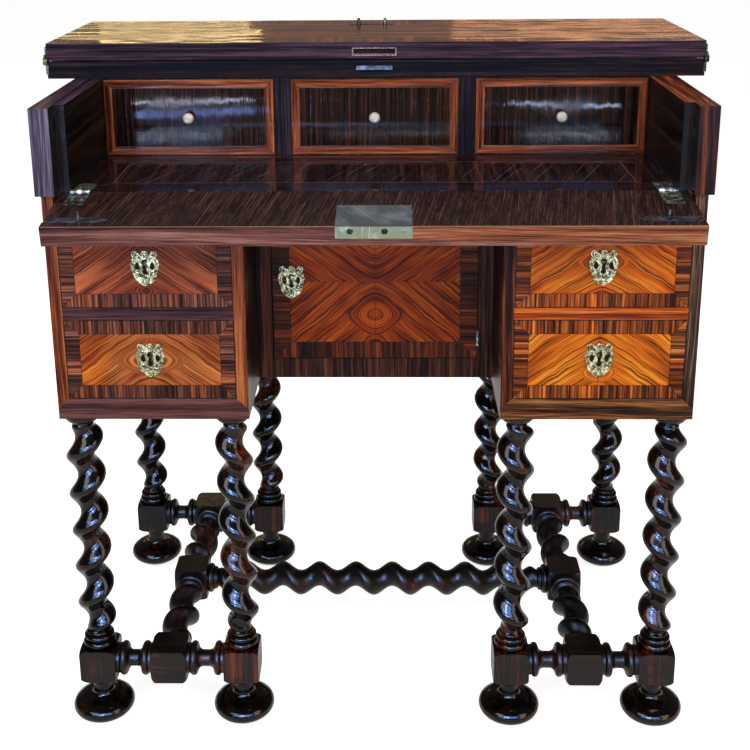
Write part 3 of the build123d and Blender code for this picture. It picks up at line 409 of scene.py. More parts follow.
# Each wood: colours from its darkest streak to its lightest, and how many streaks there are to a metre.
WOODS = {
    "ebonised": ([(2, 1, 1), (6, 4, 4), (13, 8, 7), (32, 15, 10)], 190),
    "ebony_red": ([(8, 3, 3), (26, 11, 8), (66, 28, 16), (132, 64, 36)], 260),
    "rail_in_cool_light": ([(37, 18, 19), (71, 40, 40), (92, 55, 55), (123, 81, 79)], 170),
    "rail_in_warm_light": ([(23, 11, 6), (71, 42, 22), (115, 73, 40), (168, 114, 68)], 170),
    "shelf_in_cool_light": ([(26, 14, 16), (62, 38, 42), (84, 54, 58), (118, 82, 84)], 170),
    "shelf_in_warm_light": ([(101, 37, 8), (166, 71, 20), (209, 102, 34), (247, 145, 60)], 190),
    "end_front_in_cool_light": ([(30, 24, 36), (70, 61, 80), (98, 88, 110), (138, 128, 154)], 210),
    "end_front_in_warm_light": ([(9, 5, 4), (42, 18, 10), (80, 37, 19), (124, 64, 35)], 210),
    "leaf_cool": ([(18, 11, 16), (42, 28, 38), (62, 42, 57), (98, 72, 91)], 260),
    "leaf_warm": ([(10, 7, 7), (26, 18, 20), (40, 29, 30), (66, 50, 52)], 260),
    "leaf_top": ([(18, 8, 4), (50, 25, 13), (88, 49, 27), (140, 88, 54)], 150),
    "band": ([(22, 11, 8), (70, 36, 27), (120, 68, 52), (185, 119, 94)], 400),
    "band_warm": ([(22, 10, 4), (92, 42, 16), (155, 79, 32), (230, 139, 70)], 400),
    "door_band": ([(18, 7, 4), (65, 28, 15), (105, 51, 29), (152, 84, 49)], 400),
    "stile_orange": ([(66, 24, 9), (116, 53, 26), (153, 79, 42), (190, 116, 70)], 170),
    "stile_red": ([(18, 8, 4), (68, 29, 14), (115, 56, 29), (175, 94, 52)], 210),
    "stile_dark": ([(12, 9, 8), (56, 40, 31), (112, 86, 68), (172, 146, 124)], 230),
    "frame": ([(9, 5, 4), (44, 22, 14), (76, 41, 27), (120, 72, 49)], 200),
    "field_ul": ([(77, 29, 18), (138, 64, 39), (189, 98, 62), (245, 151, 100)], 240),
    "field_ll": ([(90, 36, 15), (162, 82, 37), (212, 125, 63), (250, 182, 105)], 240),
    "field_ur": ([(107, 36, 4), (188, 80, 11), (241, 124, 28), (250, 180, 63)], 240),
    "field_lr": ([(115, 47, 4), (197, 96, 14), (243, 138, 32), (250, 194, 70)], 240),
    "field_door": ([(86, 26, 5), (168, 64, 14), (233, 105, 26), (250, 155, 46)], 220),
    "recess_field": ([(5, 3, 2), (20, 9, 6), (40, 20, 11), (84, 46, 28)], 330),
    "recess_frame": ([(58, 23, 11), (116, 56, 31), (159, 84, 49), (208, 126, 82)], 200),
    "recess_dark": ([(3, 2, 2), (13, 9, 7), (26, 18, 14), (48, 35, 27)], 200),
    "divider": ([(12, 8, 11), (29, 20, 27), (42, 32, 40), (65, 51, 63)], 260),
    "board": ([(6, 3, 3), (18, 9, 8), (36, 20, 15), (66, 39, 31)], 190),
    "fall_face": ([(18, 10, 9), (36, 21, 19), (48, 30, 27), (66, 44, 38)], 520),
    "fall_edge_in_cool_light": ([(56, 31, 31), (104, 65, 63), (136, 90, 86), (176, 130, 122)], 190),
    "fall_edge_in_warm_light": ([(62, 30, 19), (120, 67, 43), (156, 94, 64), (192, 134, 102)], 190),
    "outside": ([(20, 10, 8), (58, 31, 22), (92, 56, 39), (134, 90, 64)], 150),
    "oak": ([(62, 38, 20), (104, 70, 40), (136, 98, 60), (166, 126, 84)], 170),
}
Figure = namedtuple("Figure", "slope below height corner reach")
Panel = namedtuple("Panel", "u w half_u half_w")  # metres from a panel's middle, and its half sizes


def wood(graph, name, along, across, through, seed=0.0, wander=0.02):
    """Colour and relief of straight-grained wood. along, across and through are metres."""
    tones, streaks = WOODS[name]
    drift = graph.noise((along * 2.4, across * 7.0, seed), detail=2.0) - 0.5
    bent = across + drift * wander
    lane = bent * streaks
    depth = through * streaks
    broad = graph.noise((along * 1.6 + seed, lane * 0.35, depth * 0.35), detail=2.0)
    streak = graph.noise((along * 4.0 + seed, lane, depth), detail=4.0, roughness=0.62)
    fine = graph.noise((along * 22.0 + seed, lane * 5.0, depth * 5.0), detail=2.0)
    tone = broad * 0.30 + (streak * 0.40 + fine * 0.30)
    color = graph.tones(tone, (0.42, 0.475, 0.525, 0.585), tones)
    pores = graph.noise((along * 70.0, bent * 2100.0, through * 2100.0 + seed))
    pore = graph.step(pores, 0.60, 0.70)
    color = graph.stain(color, pore * 0.45, darker(tones[0], 0.45))
    return color, streak - pore * 0.5


def cracks(graph, across, along, pitch, width, seed, share=0.5):
    """Thin lines at uneven places across a surface, broken along their length: 1 on a line."""
    lane = across / pitch
    index = graph.math("FLOOR", lane)
    wobble = (graph.noise((along * 11.0, index, seed), detail=2.0) - 0.5) * 0.5
    middle = 0.25 + graph.cell(lane, seed) * 0.5 + wobble
    line = graph.below(abs(graph.math("FRACT", lane) - middle), width / pitch * 0.35, width / pitch)
    there = graph.noise((along * 9.0, index * 3.7, seed + 1.0))
    return line * graph.step(there, 0.60 - 0.2 * share, 0.70 - 0.2 * share)


def crazing(graph, across, along, pitches, seeds, share):
    """The cracks of old polish: long ones, and finer and fainter ones between them."""
    coarse = cracks(graph, across, along, pitches[0], 0.0005, seeds[0], share)
    fine = cracks(graph, across, along, pitches[1], 0.0003, seeds[1], 0.8)
    return graph.larger(coarse, fine * 0.5)


def flame(graph, name, u, w, figure, seed):
    """Book-matched veneer: rounded triangles of grain about a point, which open into slanting lines.

    u and w are metres from the panel's middle, and the sheet is mirrored about u = 0. figure gives the
    grain's slope, how much closer it lies below the point, the point's height, how round the corners are,
    and how far the triangles reach before the slanting lines take over."""
    tones, streaks = WOODS[name]
    side = abs(u)
    up = w - figure.height
    sin_slope = math.sin(figure.slope)
    cos_slope = math.cos(figure.slope)
    drift = graph.noise((side * 17.0, w * 17.0, seed)) - 0.5
    shiver = graph.noise((side * 70.0, w * 70.0, seed + 2.0), detail=2.0) - 0.5
    across = graph.root(side ** 2.0 + figure.corner * figure.corner)
    folded = graph.root(up ** 2.0 + figure.corner * figure.corner)
    steep = graph.blend(graph.step(up, -figure.corner, figure.corner), figure.below, cos_slope)
    closed = across * sin_slope + folded * steep
    open_lines = across * sin_slope + up * cos_slope
    ring = graph.blend(graph.step(closed, figure.reach, figure.reach + 0.001), closed, open_lines)
    ring = ring + (drift * 0.012 + shiver * 0.0016)
    run = side * cos_slope - up * sin_slope
    streak = graph.noise((ring * streaks, run * 3.0, seed), roughness=0.6)
    broad = graph.noise((ring * (0.3 * streaks), run * 9.0, seed + 3.0), detail=2.0)
    line = graph.noise((ring * 480.0, run * 7.0, seed + 5.0), detail=1.0)
    hair = graph.noise((ring * 1100.0, run * 30.0, seed + 6.0), detail=1.0)
    tone = broad * 0.5 + (streak * 0.3 + hair * 0.2)
    color = graph.tones(tone, (0.37, 0.45, 0.54, 0.66), tones)
    dark = graph.step(line, 0.50, 0.60) * 0.74 + graph.step(hair, 0.52, 0.66) * 0.22
    color = graph.stain(color, dark, darker(tones[0], 0.52))
    off_seam = graph.step(side, 0.0001, 0.0005)
    return graph.mix(off_seam, srgb(60, 28, 18), color), streak - dark * 0.6


def panel_of(graph, node, axes):
    """The panel that a node's box shows along two axes, such as xz for a front."""
    low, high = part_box(node)
    middles = [(getattr(low, axis) + getattr(high, axis)) / 2 for axis in axes]
    halves = [(getattr(high, axis) - getattr(low, axis)) / 2 for axis in axes]
    u, w = [getattr(graph, axis) - middle for axis, middle in zip(axes, middles)]
    return Panel(u, w, *halves)


def framed(graph, panel, field, band_wood, seed, band, edgewise=True, piece=0.021, joint_tone=(18, 9, 7)):
    """A veneered panel: a field with a mitred band round it, jointed from short pieces, with painted shade
    along its rim.

    edgewise lays the band's grain square to the edge in pieces of the given length, and otherwise the grain
    runs along the edge."""
    over_u = abs(panel.u) - panel.half_u
    over_w = abs(panel.w) - panel.half_w
    on_side = graph.math("GREATER_THAN", over_u, over_w)
    edge = graph.larger(over_u, over_w)
    run = graph.blend(on_side, panel.u, panel.w)
    square = graph.blend(on_side, panel.w, panel.u)
    if edgewise:
        color, relief = wood(graph, band_wood, square, run, seed, seed, wander=0.006)
        lane = (run + square * 0.08) / piece + on_side * 7.3
        tone = 0.38 + graph.cell(lane, seed) * 1.05
        hue = graph.cell(lane, seed + 9.0)
        red = tone * (0.86 + hue * 0.34)
        blue = tone * (1.16 - hue * 0.42)
        color = graph.mix(1.0, color, graph.point(red, tone, blue), "MULTIPLY")
    else:
        color, relief = wood(graph, band_wood, run, square, seed, seed, wander=0.006)
    in_band = graph.step(edge, -band - 0.0001, -band + 0.0001)
    mitre = graph.below(abs(over_u - over_w), *JOINT_LINE) * in_band
    crack = graph.larger(mitre, graph.below(abs(edge + band), *JOINT_LINE))
    field_color, field_relief = field
    color = graph.mix(in_band, field_color, color)
    relief = graph.blend(in_band, field_relief, relief)
    color = graph.stain(color, crack * 0.7, joint_tone)
    chips = graph.noise(graph.place, 160.0)
    # painted shade: the panel's outermost 1.4 mm is darkened as the gap round it would shade it
    color = graph.stain(color, graph.step(edge, -0.0014, -0.0006) * 0.85, (9, 6, 6))
    color = graph.stain(color, graph.step(edge + chips * 0.004, 0.0021, 0.0026) * 0.7, (176, 130, 104))
    return color, relief - crack * 1.2


def polish(graph, color, relief, roughness=0.34, coat=0.0, wave=0.5, gloss=0.06, ripples=(26.0, 26.0, 26.0)):
    """French polish over the wood, worn unevenly and grimy in patches.

    wave is how deep its ripples are, and ripples how many there are to a metre along each axis."""
    patch = graph.noise(graph.place, 9.0, detail=4.0, roughness=0.6)
    ripple = graph.noise((graph.x * ripples[0], graph.y * ripples[1], graph.z * ripples[2]), detail=2.0)
    color = graph.stain(color, graph.step(patch, 0.52, 0.80) * 0.30, (14, 8, 7))
    rough = roughness - 0.10 + patch * 0.20
    height = relief * 0.06 + ripple * wave
    return graph.finish(color, rough, gloss, coat, height=height, depth=POLISH_DEPTH)


def straight(name, wood_name, axis, seed, roughness=0.34, **polishing):
    """Polished straight-grained wood whose grain runs along the given axis."""
    graph = Surface(name)
    color, relief = wood(graph, wood_name, *graph.grain(axis), seed)
    return polish(graph, color, relief, roughness, **polishing)


def turned_wood(name, axis, seed, red_share=0.0):
    """Black polish over walnut, worn to the red-brown wood in places, most on the square blocks."""
    graph = Surface(name)
    black, relief = wood(graph, "ebonised", *graph.grain(axis), seed)
    red, _ = wood(graph, "ebony_red", *graph.grain(axis), seed + 4.0, wander=0.05)
    patch = graph.noise((graph.x * 11.0, graph.y * 11.0, graph.z * 15.0), detail=4.0, roughness=0.6)
    on_block = graph.step(graph.z, 0.060, 0.064) * graph.below(graph.z, 0.104, 0.108)
    worn = graph.step(patch + (red_share + on_block * 0.08), 0.56, 0.72)
    color = graph.mix(worn * 0.8, black, red)
    ripple = graph.noise(graph.place, 70.0)
    rough = 0.03 + (patch * 0.12 + on_block * 0.25)
    height = relief * 0.05 + ripple * 0.5
    return graph.finish(color, rough, gloss=0.22, height=height, depth=0.0006)


# --- Painting nodes ---


def soften(node, width=0.0007):
    """Rounds a board's edges a little, as years of handling have."""
    bevel = nodes[node].modifiers.new("worn_edges", "BEVEL")
    bevel.width = width
    bevel.segments = 2
    bevel.limit_method = "ANGLE"
    bevel.angle_limit = math.radians(50)


def paint_faces(node, materials, choose):
    """Gives a CAD node several materials; choose gives a face's number from its middle and normal."""
    mesh = nodes[node].data
    mesh.materials.clear()
    for material in materials:
        mesh.materials.append(material)
    for polygon in mesh.polygons:
        polygon.material_index = choose(polygon.center, polygon.normal)


def paint(material, *names):
    """Gives CAD nodes one material."""
    for name in names:
        materials = nodes[name].data.materials
        materials.clear()
        materials.append(material)


def paint_split(node, first, second, test):
    """Gives a CAD node two materials; faces whose middle passes the test take the second."""
    paint_faces(node, [first, second], lambda at, normal: int(test(at)))


def on_front(front):
    """A test of whether a face's middle lies on a front plane, or before it."""
    return lambda at: at.y < front + SKIN


def paint_base():
    """Legs, feet and stretchers."""
    for number, name in enumerate(sorted(node for node in nodes if node.startswith("leg_"))):
        paint(turned_wood(f"{name}_wood", "z", 1.7 * number, 0.08 if "inner" in name else 0.03), name)
    paint(turned_wood("foot_wood", "z", 11.0), "bun_feet")
    for name in ("short_stretchers_front", "short_stretchers_rear", "cross_stretcher"):
        paint(turned_wood(f"{name}_wood", "x", 14.0 + len(name)), name)
    for name in ("side_stretcher_left", "side_stretcher_right"):
        paint(turned_wood(f"{name}_wood", "y", 21.0 + len(name)), name)


# Each large drawer's field and band woods, figure and seed.
DRAWER_LOOKS = {
    "drawer_upper_left": ("field_ul", "band", Figure(0.60, 0.9, -0.028, 0.003, 0.010), 2.0),
    "drawer_lower_left": ("field_ll", "band", Figure(0.62, 1.7, -0.007, 0.010, 0.034), 5.0),
    "drawer_upper_right": ("field_ur", "band_warm", Figure(0.60, 1.7, 0.000, 0.009, 0.026), 8.0),
    "drawer_lower_right": ("field_lr", "band_warm", Figure(0.62, 1.4, -0.019, 0.007, 0.020), 12.0),
}


def shadow_behind_escutcheon(graph, color, u, w):
    """Painted shadow behind an escutcheon, on the board that shows through its piercings."""
    half_width, half_height = SHADE_HALVES
    reach = (u / half_width) ** 2.0 + (w / half_height) ** 2.0
    return graph.stain(color, graph.below(reach, 0.8, 1.0) * 0.94, (8, 6, 5))


def paint_large_drawers(oak):
    """Fronts in figured veneer. The sun has yellowed the left end of the lower left one."""
    for name, (field_wood, band_wood, figure, seed) in DRAWER_LOOKS.items():
        graph = Surface(f"{name}_veneer")
        panel = panel_of(graph, name, "xz")
        color, relief = flame(graph, field_wood, panel.u, panel.w, figure, seed)
        if name == "drawer_lower_left":
            sunned = graph.below(panel.u, -0.056, -0.044)
            color = graph.mix(sunned * 0.8, color, (1.25, 1.0, 0.35), "MULTIPLY")
        # painted shadow behind the escutcheon, seen through its piercings
        color = shadow_behind_escutcheon(graph, color, panel.u, panel.w)
        color, relief = framed(graph, panel, (color, relief), band_wood, seed, band=0.017)
        paint_split(name, oak, polish(graph, color, relief, 0.36), on_front(FRONT))


def paint_small_drawers(oak):
    """Dark, highly polished fronts with a reddish frame."""
    for number, place in enumerate(("left", "middle", "right")):
        name = f"small_drawer_{place}"
        graph = Surface(f"{name}_veneer")
        panel = panel_of(graph, name, "xz")
        color, relief = wood(graph, "recess_field", panel.w, panel.u, 0.0, 3.0 * number + 1.0, wander=0.012)
        score = cracks(graph, panel.u, panel.w, pitch=0.007, width=0.0005, seed=2.0 + number)
        color = graph.stain(color, score * 0.25, (120, 92, 76))
        field = color, relief * 0.6 - score * 0.5
        color, relief = framed(
            graph, panel, field, "recess_frame", 4.0 * number, band=0.0115, edgewise=False
        )
        veneer = polish(graph, color, relief, 0.04, wave=0.12, gloss=0.10, ripples=(60.0, 60.0, 14.0))
        paint_split(name, oak, veneer, on_front(SMALL_FRONTS))


def paint_door():
    """The cupboard door: a quartered field with loops below its middle, in a broad dark band."""
    graph = Surface("door_veneer")
    panel = panel_of(graph, "door", "xz")
    high_figure = Figure(0.62, 0.8, -0.10, 0.006, 0.0)
    low_figure = Figure(0.72, 0.9, -0.046, 0.008, 0.030)
    upper_color, upper_relief = flame(graph, "field_door", panel.u, panel.w * -1.0, high_figure, 31.0)
    lower_color, lower_relief = flame(graph, "field_door", panel.u, panel.w, low_figure, 35.0)
    upper = graph.step(panel.w, -0.0001, 0.0001)
    color = graph.mix(upper, lower_color, upper_color)
    relief = graph.blend(upper, lower_relief, upper_relief)
    color = graph.stain(color, graph.below(abs(panel.w), 0.0002, 0.0005) * 0.5, (40, 20, 14))
    # painted shadow behind the door's escutcheon, seen through its piercings
    color = shadow_behind_escutcheon(graph, color, panel.u + (panel.half_u - DOOR_LOCK_X), panel.w)
    color, relief = framed(graph, panel, (color, relief), "door_band", 41.0, band=0.022)
    edge = straight("door_edge", "frame", "z", 44.0)
    paint_split("door", edge, polish(graph, color, relief), on_front(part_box("door")[0].y))


def paint_pedestals():
    """The pedestals' sides, banded on their broad faces."""
    for name, wood_name, seed in (
        ("pedestal_left_outer_side", "stile_orange", 51.0),
        ("pedestal_left_inner_side", "stile_orange", 52.0),
        ("pedestal_right_inner_side", "stile_red", 53.0),
        ("pedestal_right_outer_side", "stile_dark", 54.0),
    ):
        edge = straight(f"{name}_edge", wood_name, "z", seed, 0.38)
        side_wood, band_wood = ("recess_dark", "frame") if "inner" in name else ("outside", "band")
        graph = Surface(f"{name}_veneer")
        panel = panel_of(graph, name, "yz")
        field = wood(graph, side_wood, panel.w, panel.u, 0.0, seed, wander=0.03)
        color, relief = framed(graph, panel, field, band_wood, seed, band=0.03, piece=0.07)
        paint_split(name, polish(graph, color, relief, 0.36), edge, on_front(FRONT))


def paint_carcass():
    """Rails, frame, dividers, shelves and back."""
    # painted light: the rails are one wood, painted in cool light on the left half and warm light on the
    # right half
    cool = straight("rail_left_wood", "rail_in_cool_light", "x", 57.0, 0.38)
    warm = straight("rail_right_wood", "rail_in_warm_light", "x", 58.0, 0.38)
    paint_split("pedestal_rails", cool, warm, lambda at: at.x > 0)
    paint(straight("frame_wood", "frame", "z", 59.0, 0.38), "cupboard_frame")
    paint(straight("divider_wood", "divider", "z", 79.0, 0.46, gloss=0.02), "small_dividers")
    oak = straight("carcass_oak", "oak", "x", 61.0, 0.65, wave=0.2)
    # painted light: the lippings are one wood, painted in cool light on the left and warm light on the right
    for side, wood_name in (("left", "shelf_in_cool_light"), ("right", "shelf_in_warm_light")):
        name = f"pedestal_{side}_shelves"
        lipping = straight(f"{name}_lipping", wood_name, "x", 62.0, 0.38)
        paint_split(name, oak, lipping, on_front(FRONT))
    paint(oak, "cupboard_floor", "back_boards")


def paint_writing_board():
    """The writing board: dark, crazed and glossy, with a band round it."""
    graph = Surface("writing_board_veneer")
    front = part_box("writing_board")[0].y
    half_depth = (SMALL_FRONTS - front) / 2
    panel = Panel(graph.x, graph.y - (front + half_depth), BOARD_HALF_WIDTH, half_depth)
    color, relief = wood(graph, "board", graph.y, graph.x, 0.0, 71.0, wander=0.012)
    score = crazing(graph, graph.x + graph.y * -0.4, graph.y, (0.015, 0.005), (5.0, 6.0), 0.6)
    color = graph.stain(color, score * 0.40, (150, 124, 100))
    field = color, relief - score * 0.7
    color, relief = framed(
        graph, panel, field, "board", 73.0, band=0.040, edgewise=False, joint_tone=(128, 104, 90)
    )
    polished = polish(graph, color, relief, 0.05, wave=0.07, gloss=0.12, ripples=(60.0, 20.0, 20.0))
    paint(polished, "writing_board")


def paint_end_boards():
    """The boards at the ends of the writing recess: each face has its own wood, and the fronts are painted in
    cool light on the left and warm light on the right.
    """
    inside = straight("end_inside", "recess_dark", "y", 76.0, 0.30)
    rebate = straight("end_rebate", "recess_dark", "z", 78.0, 0.22, coat=0.3, wave=1.0)
    # painted light: the left board's front is painted in cool light and the right board's front in warm light
    for name, wood_name, top_wood, seed in (
        ("end_board_left", "end_front_in_cool_light", "leaf_cool", 75.0), ("end_board_right", "end_front_in_warm_light", "stile_red", 77.0)
    ):
        face = straight(f"{name}_front", wood_name, "z", seed, 0.40)
        top = straight(f"{name}_top", top_wood, "y", seed + 1.0, 0.36)
        outside = straight(f"{name}_outside", "outside", "y", seed + 2.0, 0.36)
        low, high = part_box(name)

        def choose(at, normal, low=low, high=high):
            if at.y < low.y + SKIN:
                return 0
            if at.z > high.z - SKIN:
                return 1
            if normal.x * math.copysign(1, low.x) > 0.9:
                return 2
            return 4 if at.y < FALL_AXIS.y + FALL_REBATE else 3

        paint_faces(name, [face, top, outside, inside, rebate], choose)


def leaf_edge(name, wood_name, seed, mortise_z=None):
    """A leaf's edge: fine grain along it in jointed lengths, and the worn rim of the mortise."""
    graph = Surface(name)
    color, relief = wood(graph, wood_name, *graph.grain("x"), seed, wander=0.006)
    shade = 0.78 + graph.cell((graph.x + 0.045) / 0.21, seed) * 0.42
    color = graph.mix(1.0, color, graph.point(shade, shade, shade), "MULTIPLY")
    if mortise_z is not None:
        half_width, half_height = MORTISE_HALVES
        out = graph.larger(abs(graph.x) - half_width, abs(graph.z - mortise_z) - half_height)
        rim = graph.step(out, -0.0006, 0.0) * graph.below(out, 0.0008, 0.0016)
        chipped = graph.step(graph.noise(graph.place, 420.0, detail=2.0), 0.42, 0.56)
        color = graph.stain(color, rim * (0.25 + chipped * 0.65), (206, 192, 180))
    return polish(graph, color, relief, 0.46, gloss=0.02)


def paint_top():
    """Both leaves: figured sheets with a band on the broad faces, straight grain on the edges."""
    for name, seed, edge_wood in (("front_leaf", 83.0, "leaf_cool"), ("rear_leaf", 87.0, "leaf_warm")):
        low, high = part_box(name)
        graph = Surface(f"{name}_veneer")
        panel = panel_of(graph, name, "xy")
        field = wood(graph, "leaf_top", panel.u, panel.w, 0.0, seed, wander=0.06)
        color, relief = framed(
            graph, panel, field, "leaf_top", seed, band=0.05, piece=0.09, joint_tone=(176, 130, 92)
        )
        veneer = polish(graph, color, relief, 0.09, wave=2.6, ripples=(4.5, 15.0, 15.0))
        mortise_z = low.z + MORTISE_RISE if name == "front_leaf" else None
        edge = leaf_edge(f"{name}_edge", edge_wood, seed + 2.0, mortise_z)
        middle = (low.z + high.z) / 2
        half = (high.z - low.z) / 2 - 0.0004  # the edges' faces lie further in than the broad ones
        paint_split(name, veneer, edge, lambda at, middle=middle, half=half: abs(at.z - middle) < half)


def paint_fall():
    """The fall front: dark and crazed inside, plain outside, with its edge painted in cool light on the left
    half and warm light on the right.
    """
    graph = Surface("fall_inside")
    slant = graph.x - graph.y * 0.16
    color, relief = wood(graph, "fall_face", graph.y, slant, graph.z, 91.0, wander=0.01)
    score = crazing(graph, slant, graph.y, (0.017, 0.0048), (9.0, 8.0), 0.55)
    color = graph.stain(color, score * 0.40, (158, 116, 98))
    rim = graph.step(FALL_FRONT + 0.0012 - graph.y, -0.0006, 0.0006)
    color = graph.stain(color, rim * 0.7, (196, 160, 136))
    inside_wood = polish(graph, color, relief - score * 0.7, 0.20, wave=1.0, gloss=0.16)
    outside = straight("fall_outside", "outside", "x", 92.0)
    # painted light: the edge is one wood, painted in cool light on its left half and warm light on its right
    # half
    edge_cool = straight("fall_edge_left", "fall_edge_in_cool_light", "x", 93.0, 0.40)
    edge_warm = straight("fall_edge_right", "fall_edge_in_warm_light", "x", 94.0, 0.40)

    def choose(at, facing):
        if (at - FALL_AXIS).dot(FALL_NORMAL) > -0.0005:
            return 0
        if facing.dot(FALL_NORMAL) < -0.9:
            return 1
        return 2 if at.x < 0 else 3

    paint_faces("fall_board", [inside_wood, outside, edge_cool, edge_warm], choose)


def soften_boards():
    """Small worn arrises on every board that shows."""
    plain = ("front_leaf", "rear_leaf", "fall_board", "pedestal_rails", "small_dividers", "cupboard_frame")
    for name in nodes:
        if name in plain or name.startswith("end_board_") or name.endswith("_side"):
            soften(name)
        is_drawer = name.startswith(("drawer_", "small_drawer_")) and not name.endswith(("_lock", "_knob"))
        if is_drawer or name == "door":
            soften(name, 0.0004)


# --- Metal and ivory ---

LOCK_DEPTH = 0.0215  # from the fall's inside to its escutcheon on the outside
SELVEDGE_WIDTH = 0.003  # from the fall's front edge back, less than the lock's case


def metal(name, tones, roughness, scale=90.0):
    """Old metal: tones from its grime to its worn bright places."""
    graph = Surface(name)
    patina = graph.noise(graph.place, scale, detail=6.0, roughness=0.65)
    pits = graph.noise(graph.place, scale * 9.0)
    value = patina * 0.75 + pits * 0.25
    color = graph.tones(value, (0.38, 0.50, 0.62), tones)
    return graph.finish(color, roughness - 0.12 + patina * 0.26, metal=1.0, height=value, depth=0.0002)


def cast_gilt():
    """Worn gilt brass: bright on its high places, dark green-brown in its hollows."""
    graph = Surface("cast_gilt")
    chased = graph.noise(graph.place, 240.0, roughness=0.6)
    fine = graph.noise(graph.place, 1200.0)
    value = chased * 0.8 + fine * 0.2
    tones = [(14, 12, 7), (62, 56, 34), (128, 120, 80), (190, 182, 136)]
    color = graph.tones(value, (0.34, 0.42, 0.50, 0.62), tones)
    return graph.finish(color, 0.28 + fine * 0.2, metal=1.0, height=value, depth=0.0005)


def lock_metal(name, plain, worn):
    """The fall lock's brass: an even dull face with a few scratches, and brighter wear."""
    graph = Surface(name)
    cloud = graph.noise(graph.place, 32.0, detail=4.0, roughness=0.6)
    slant = graph.x + graph.y * 0.6
    scratch = cracks(graph, slant, graph.y - graph.x, pitch=0.011, width=0.0004, seed=3.0, share=0.4)
    fine = graph.noise((graph.x * 300.0, graph.y * 2400.0, graph.z * 2400.0), detail=2.0)
    color = graph.stain(srgb(*plain), graph.step(cloud, 0.42, 0.66), worn)
    color = graph.stain(color, graph.step(fine, 0.50, 0.66) * 0.35, darker(plain, 0.55))
    color = graph.stain(color, scratch * 0.6, (226, 226, 214))
    return graph.finish(color, 0.34 + cloud * 0.2, metal=1.0, height=fine + cloud * 0.5, depth=0.0001)


def paint_fall_lock(gilt):
    """The lock's plate on the fall, its selvedge, its case in the wood and its escutcheon below."""
    face = lock_metal("lock_face", (104, 106, 104), (134, 136, 134))
    selvedge = lock_metal("lock_selvedge", (112, 116, 88), (158, 160, 130))
    case = metal("lock_case", [(40, 38, 28), (96, 92, 66), (150, 146, 112)], 0.42)

    def choose(at, facing):
        if (at - FALL_AXIS).dot(FALL_NORMAL) < -LOCK_DEPTH:
            return 3
        if facing.dot(FALL_NORMAL) > 0.9:
            return 0
        return 1 if at.y < FALL_FRONT + SELVEDGE_WIDTH else 2

    paint_faces("fall_lock", [face, selvedge, case, gilt], choose)


def paint_metal(gilt):
    """Drawer and door locks, hinges, bolts, tongue and keepers."""
    aged = metal("aged_brass", [(28, 26, 20), (92, 88, 70), (214, 206, 186)], 0.40, 140.0)
    dark = metal("dark_brass", [(18, 16, 11), (54, 48, 32), (112, 100, 68)], 0.42)
    steel = metal("worn_steel", [(30, 30, 30), (66, 66, 66), (104, 104, 100)], 0.50)
    paint(gilt, *(name for name in nodes if name.endswith("_lock") and name != "fall_lock"))
    paint(dark, "leaf_hinge_plates", "leaf_hinge_arms", "bolt_keepers", "strike_plate")
    paint(aged, "fall_hinge_plates", "fall_hinge_flaps", "door_hinge_plates", "door_hinge_flaps")
    paint(steel, "slide_bolt_left", "slide_bolt_right", "leaf_tongue")


def paint_knobs():
    """The small drawers' ivory-coloured knobs."""
    graph = Surface("ivory")
    cloud = graph.noise(graph.place, 240.0, detail=4.0)
    color = graph.tones(cloud, (0.35, 0.65), [(196, 180, 146), (232, 224, 204)])
    ivory = graph.finish(color, roughness=0.25, coat=0.3, height=cloud, depth=0.0001)
    paint(ivory, *(name for name in nodes if name.endswith("_knob")))


# --- Small brass work ---

# Half of the scrolls on an escutcheon, millimetres right of and above its middle.
SCROLLS = [
    [(3.6, -1.5), (5.2, -5.6), (9.4, -5.6), (13.0, -1.0), (13.9, 5.5), (11.2, 11.2), (6.8, 12.4), (5.4, 8.6)],
    [(3.2, 12.6), (5.4, 15.6), (8.4, 19.2), (12.0, 18.8), (13.2, 15.6), (11.2, 13.0)],
    [(3.6, -8.2), (6.6, -10.6), (9.6, -9.6), (12.4, -6.0), (15.0, -2.0), (15.6, 3.0)],
    [(1.0, -9.0), (3.2, -13.0), (3.0, -17.0), (0.6, -19.8)],
    [(0.4, 12.6), (2.6, 15.0), (3.0, 18.4), (0.6, 20.4)],
]
RIB_RADIUS = 0.00085
RIB_RISE = 0.0015  # of the ribs' middle above the board behind the escutcheon
FALL_ESCUTCHEON = (0.0017, -0.059, -0.0225)  # its middle, from the fall's axis, with the fall level

SCREW_SIDES = 16
SCREW_RINGS = ((1.0, 0.0), (1.0, 0.00012), (0.8, 0.00028), (0.4, 0.00036))  # share of radius, metres out
SELVEDGE_SCREW = 0.0016  # radius of its head
FALL_SCREW = 0.002
LEAF_SCREW = 0.0018
SELVEDGE_SCREW_X = (-0.0349, 0.0016, 0.0332)
SELVEDGE_SCREW_Z = -0.0056
FALL_HINGE_X = 0.333
FALL_HINGE_SCREWS = ((-0.005, 0.013), (0.005, 0.027))  # aside of the hinge's middle, and from its axis
LEAF_HINGE_SCREW_Y = (0.016, 0.033, 0.050)  # behind the pivot
LEAF_HINGE_SCREW_Z = 0.0102  # above and below the pivot
LEAF_PLATE_PROUD = 0.0017  # past the end of the rear leaf


